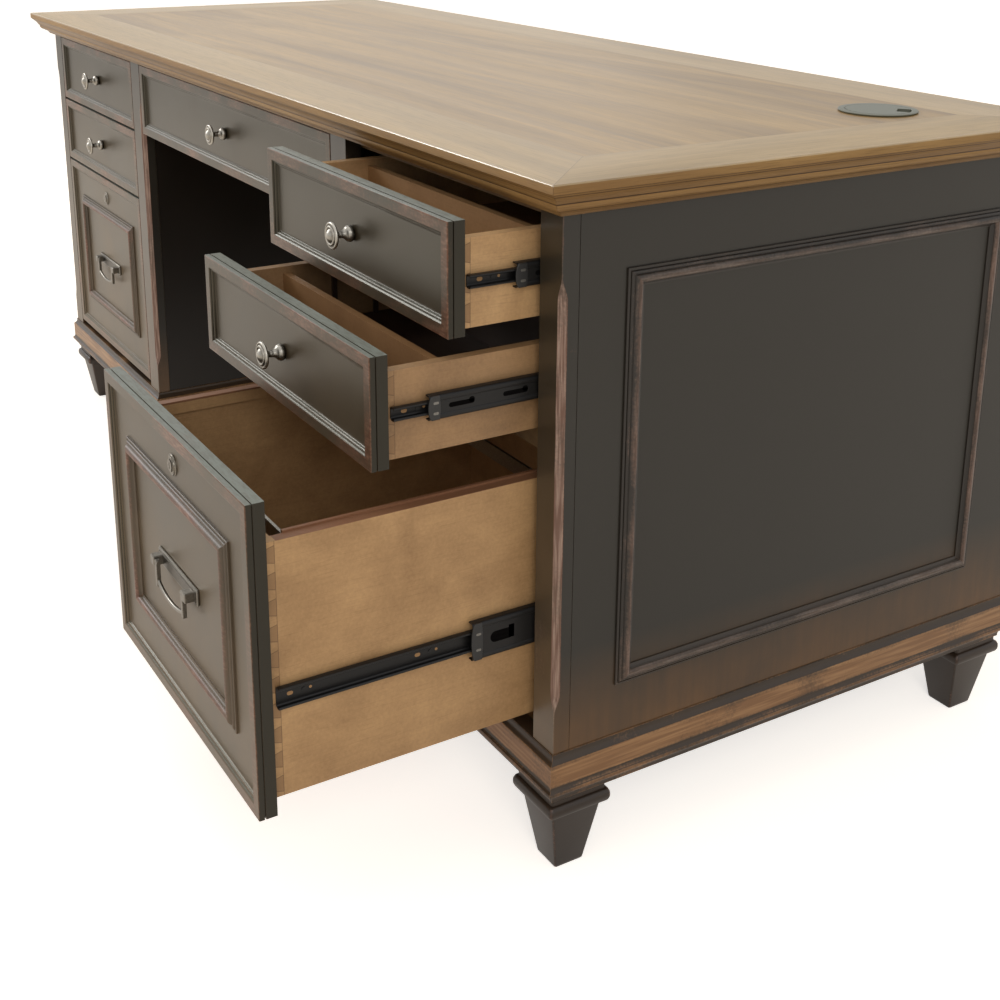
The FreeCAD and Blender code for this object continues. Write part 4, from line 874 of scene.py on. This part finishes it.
# Each fixing of the drawer's channel has a long hole, a slot filled by a screw head and a round hole.
file_fixings, short_fixings = (0.014, 0.150, 0.300), (0.014, 0.210)
long_hole, long_hole_height = 0.0062, 0.0040
head_from_hole, head_length, head_height, head_proud = 0.0145, 0.0050, 0.0049, 0.0006
round_from_hole, round_lift, round_hole, round_hole_height = 0.021, 0.0005, 0.0030, 0.0029
black_steel = black_coated_steel("black_coated_steel", "#0b0a0a", 0.42)
slot_shadow = black_coated_steel("shadow_in_pressed_slots", "#040404", 0.9, shine=0.0)
clip_steel = satin_plating("zinc_plated_spring_clip", "#8f8f8d")
catch_plastic = moulded_plastic("moulded_black_nylon", "#171717", 0.4)
hole_wood = plain_timber("birch_seen_through_holes", "#b08a60", "#95714a")
dress("cabinet_channels", black_steel)
for drawer in DRAWERS:
    named, body = drawer + "_middle_channels", drawer + "_runners"
    low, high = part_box(named)
    z, half = (low.z + high.z) / 2, (high.z - low.z) / 2
    web = 2 * half - folds
    channels, slots, catches, clips = [], [], [], []
    for side, mount in ((-1, low.x - middle_from_mount), (1, high.x + middle_from_mount)):
        channels.append(pressed_channel(middle_fold, half, mount, side, z, low.y, high.y))
        for start in slot_starts:
            y = low.y + start
            slots.append(obround(mount, side, middle_web, y, z, slot_length, slot_share * web))
            slots.append(obround(mount, side, middle_web, y + tab_from_slot, z + tab_lift, tab_length,
                                 tab_share * web))
        catches.append(end_catch(mount, side, low.y, z, half - catch_gap))
        for lift in (-clip_share, clip_share):
            clips.append(obround(mount, side, clip_depth, low.y + clip_from_end, z + lift * half, clip_length,
                                 clip_height, clip_proud))
    piece(named + "_pressed", channels, black_steel, body, [named], crisp=40)
    piece(named + "_slots", slots, slot_shadow, body, [])
    piece(named + "_catches", catches, catch_plastic, body, [])
    piece(named + "_clips", clips, clip_steel, body, [])

    named, body = drawer + "_drawer_channels", drawer + "_drawer"
    low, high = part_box(named)
    z, half = (low.z + high.z) / 2, (high.z - low.z) / 2
    channels, heads, holes = [], [], []
    for side, mount in ((-1, low.x - drawer_from_mount), (1, high.x + drawer_from_mount)):
        channels.append(pressed_channel(drawer_fold, half, mount, side, z, low.y, high.y))
        for start in file_fixings if drawer in FILE_DRAWERS else short_fixings:
            y = low.y + start
            holes.append(obround(mount, side, drawer_web, y, z, long_hole, long_hole_height))
            holes.append(obround(mount, side, drawer_web, y + round_from_hole, z + round_lift, round_hole,
                                 round_hole_height))
            heads.append(obround(mount, side, drawer_web, y + head_from_hole, z, head_length, head_height,
                                 head_proud))
    piece(named + "_pressed", channels, black_steel, body, [named], crisp=40)
    piece(named + "_slots", heads, black_steel, body, [])
    piece(named + "_holes", holes, hole_wood, body, [])


# Knobs: pewter-finished zinc, cast and turned with a stepped, domed head on a thin neck and a bell-shaped
# foot, each held by a screw from inside the drawer.
def antique_pewter(name):
    """Blackened, then relieved zinc: bright where 'rub' is high, dark in the hollows, with 2.4 mm bloom."""
    bloom_size = 0.0024
    material, tree, surface = blank_material(name)
    place = node(tree, "ShaderNodeTexCoord").outputs["Object"]
    bloom = node(tree, "ShaderNodeTexNoise",
                 {"Vector": place, "Scale": 1 / bloom_size, "Detail": 4.0, "Roughness": 0.6})
    rub = node(tree, "ShaderNodeAttribute", attribute_name="rub").outputs["Fac"]
    bright = node(tree, "ShaderNodeMath", {0: bloom, 1: 0.5, 2: rub}, operation="MULTIPLY_ADD")
    bright = node(tree, "ShaderNodeMapRange", {"Value": bright, "From Min": 0.2, "From Max": 1.1})
    colour = node(tree, "ShaderNodeMix", {0: bright, 6: linear("#433e37"), 7: linear("#aca79d")},
                  data_type="RGBA")
    gloss = node(tree, "ShaderNodeMapRange", {"Value": bloom, "To Min": 0.26, "To Max": 0.46})
    relief = node(tree, "ShaderNodeBump", {"Strength": 0.12, "Distance": 0.0003, "Height": bloom})
    node(tree, "ShaderNodeBsdfPrincipled",
         {"Base Color": colour, "Metallic": 1.0, "Roughness": gloss, "Normal": relief}, to=surface)
    return material


pewter = antique_pewter("antique_pewter_casting")
knob_profile = MM * np.vstack([
    [(0.01, 0, 0), (6.6, 0, 0)],
    arc((8.2, 1.2, 100), (7.8, 7.0, 700), 0.35, 7),
    arc((7.6, 7.4, 700), (3.9, 14.6, 300), -0.3, 8),
    arc((3.6, 15.4, 200), (4.6, 19.4, 200), -0.3, 5),
    [(9.0, 21.0, 200), (13.6, 22.0, 400)],
    arc((14.2, 22.4, 800), (13.0, 25.6, 1000), 0.6, 7),
    [(12.2, 25.5, 200), (11.6, 25.0, 0)],
    arc((11.0, 25.2, 400), (8.6, 26.6, 800), 0.6, 6),
    [(8.0, 26.2, 100), (7.4, 26.1, 0)],
    arc((7.0, 26.4, 400), (0.01, 30.0, 1000), 0.19, 9)])
for drawer in KNOB_DRAWERS:
    low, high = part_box(drawer + "_knob")
    seat = ((low.x + high.x) / 2, high.y, (low.z + high.z) / 2)
    piece(drawer + "_knob_cast", [lathe(knob_profile, seat, (0, -1, 0))], pewter, drawer + "_drawer",
          [drawer + "_knob"], crisp=60)


# Bail pulls: a stamped plate with two square posts, screwed on from inside. The bow is cast in the same zinc
# and hangs from pins through the posts; a round rod that sags a little in the middle joins its two flat arms.
def round_rod(path, radius, count=14):
    """Circles of one radius set across a path that lies in a plane of constant depth."""
    step = np.gradient(path, axis=0)
    step /= np.linalg.norm(step, axis=1)[:, None]
    deep = np.array((0.0, 1.0, 0.0))
    wide = np.cross(step, deep)
    angle = np.linspace(0, 2 * math.pi, count, endpoint=False)[None, :, None]
    return skin(path[:, None, :] + radius * (np.cos(angle) * wide[:, None, :] + np.sin(angle) * deep), 0.4)


def softened_bar(low, high, soft, rub):
    """A square bar with softened arrises: rings along its depth, drawn in at both ends, with cut corners."""
    low, high = np.array(low, float), np.array(high, float)
    depth = np.array([[low[1]], [low[1] + soft], [high[1] - soft], [high[1]]])
    inset = np.array([[soft], [0], [0], [soft]])
    x0, x1, z0, z1 = low[0] + inset, high[0] - inset, low[2] + inset, high[2] - inset
    xs = np.hstack([x0 + soft, x1 - soft, x1, x1, x1 - soft, x0 + soft, x0, x0])
    zs = np.hstack([z0, z0, z0 + soft, z1 - soft, z1, z1, z1 - soft, z0 + soft])
    return skin(np.stack([xs, np.broadcast_to(depth, xs.shape), zs], axis=-1), rub)


plate_thickness, plate_soft = 0.003, 0.0009
raised_from_edge, raised_by, raised_sink, raised_soft = 0.003, 0.0008, 0.0004, 0.0004
post_from_middle, post_half, post_sink, post_soft = 0.048, 0.0055, 0.0003, 0.0010
arm_from_middle, arm_half, arm_below, arm_above, arm_soft = 0.03985, 0.0024, 0.0275, 0.0035, 0.0006
pin_from_middle, pin_radius = 0.0362, 0.0023
bow_below, bow_sag, bow_fullness, bow_radius = 0.0205, 0.0088, 0.8, 0.0022
for drawer in FILE_DRAWERS:
    low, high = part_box(drawer + "_bail_plate")
    x, z = (low.x + high.x) / 2, (low.z + high.z) / 2
    face = high.y - plate_thickness
    parts = [softened_bar((low.x, face, low.z), high, plate_soft, 0.3),
             softened_bar((low.x + raised_from_edge, face - raised_by, low.z + raised_from_edge),
                          (high.x - raised_from_edge, face + raised_sink, high.z - raised_from_edge),
                          raised_soft, 0.05)]
    for post in (x - post_from_middle, x + post_from_middle):
        parts.append(softened_bar((post - post_half, low.y, z - post_half),
                                  (post + post_half, face + post_sink, z + post_half), post_soft, 0.32))
    piece(drawer + "_bail_plate_stamped", parts, pewter, drawer + "_drawer",
          [drawer + "_bail_plate"])
    low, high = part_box(drawer + "_bail")
    y = (low.y + high.y) / 2
    parts = []
    for side in (-1, 1):
        arm = x + side * arm_from_middle
        parts.append(softened_bar((arm - arm_half, y - arm_half, z - arm_below),
                                  (arm + arm_half, y + arm_half, z + arm_above), arm_soft, 0.35))
        pin = np.array([(x + side * pin_from_middle, y, z), (x + side * post_from_middle, y, z)])
        parts.append(round_rod(pin, pin_radius))
    t = np.linspace(-1, 1, 33)
    sag = bow_below + bow_sag * (1 - t ** 2) ** bow_fullness
    bow = np.stack([x + arm_from_middle * t, np.full_like(t, y), z - sag], axis=1)
    parts.append(round_rod(bow, bow_radius))
    piece(drawer + "_bail_cast", parts, pewter, drawer + "_bail", [drawer + "_bail"])

# Cam locks: a nickel-plated brass barrel, turned, whose ringed flange sits on the front and whose body passes
# through it, and a plug with a keyway that turns in it.
nickel = satin_plating("satin_nickel_plate", "#8d877c")
flange = MM * np.vstack([
    [(6.7, 28.0, 0), (9.0, 28.0, 0), (9.0, 0.0, 0), (12.0, 0.0, 0)],
    arc((12.0, -0.8, 0), (10.4, -2.6, 0), 0.4, 5),
    [(9.6, -2.2, 0), (9.0, -2.2, 0)],
    arc((8.8, -2.4, 0), (7.0, -2.9, 0), 0.3, 4),
    [(6.7, -2.6, 0), (6.7, 28.0, 0)]])
flange_thickness = 0.003
for drawer in FILE_DRAWERS:
    low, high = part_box(drawer + "_lock_barrel")
    seat = ((low.x + high.x) / 2, low.y + flange_thickness, (low.z + high.z) / 2)
    piece(drawer + "_lock_barrel_turned", [lathe(flange, seat, (0, 1, 0), caps=False)], nickel,
          drawer + "_drawer", [drawer + "_lock_barrel"])
    dress(drawer + "_lock_plug", nickel)

# Hanging-file bars: two strips of galvanised steel in each file drawer, folded for stiffness and dropped over
# the rails on its sides.
zinc_steel = satin_plating("galvanised_steel_strip", "#b5b2aa")
for drawer in FILE_DRAWERS:
    dress(drawer + "_file_bars", zinc_steel)
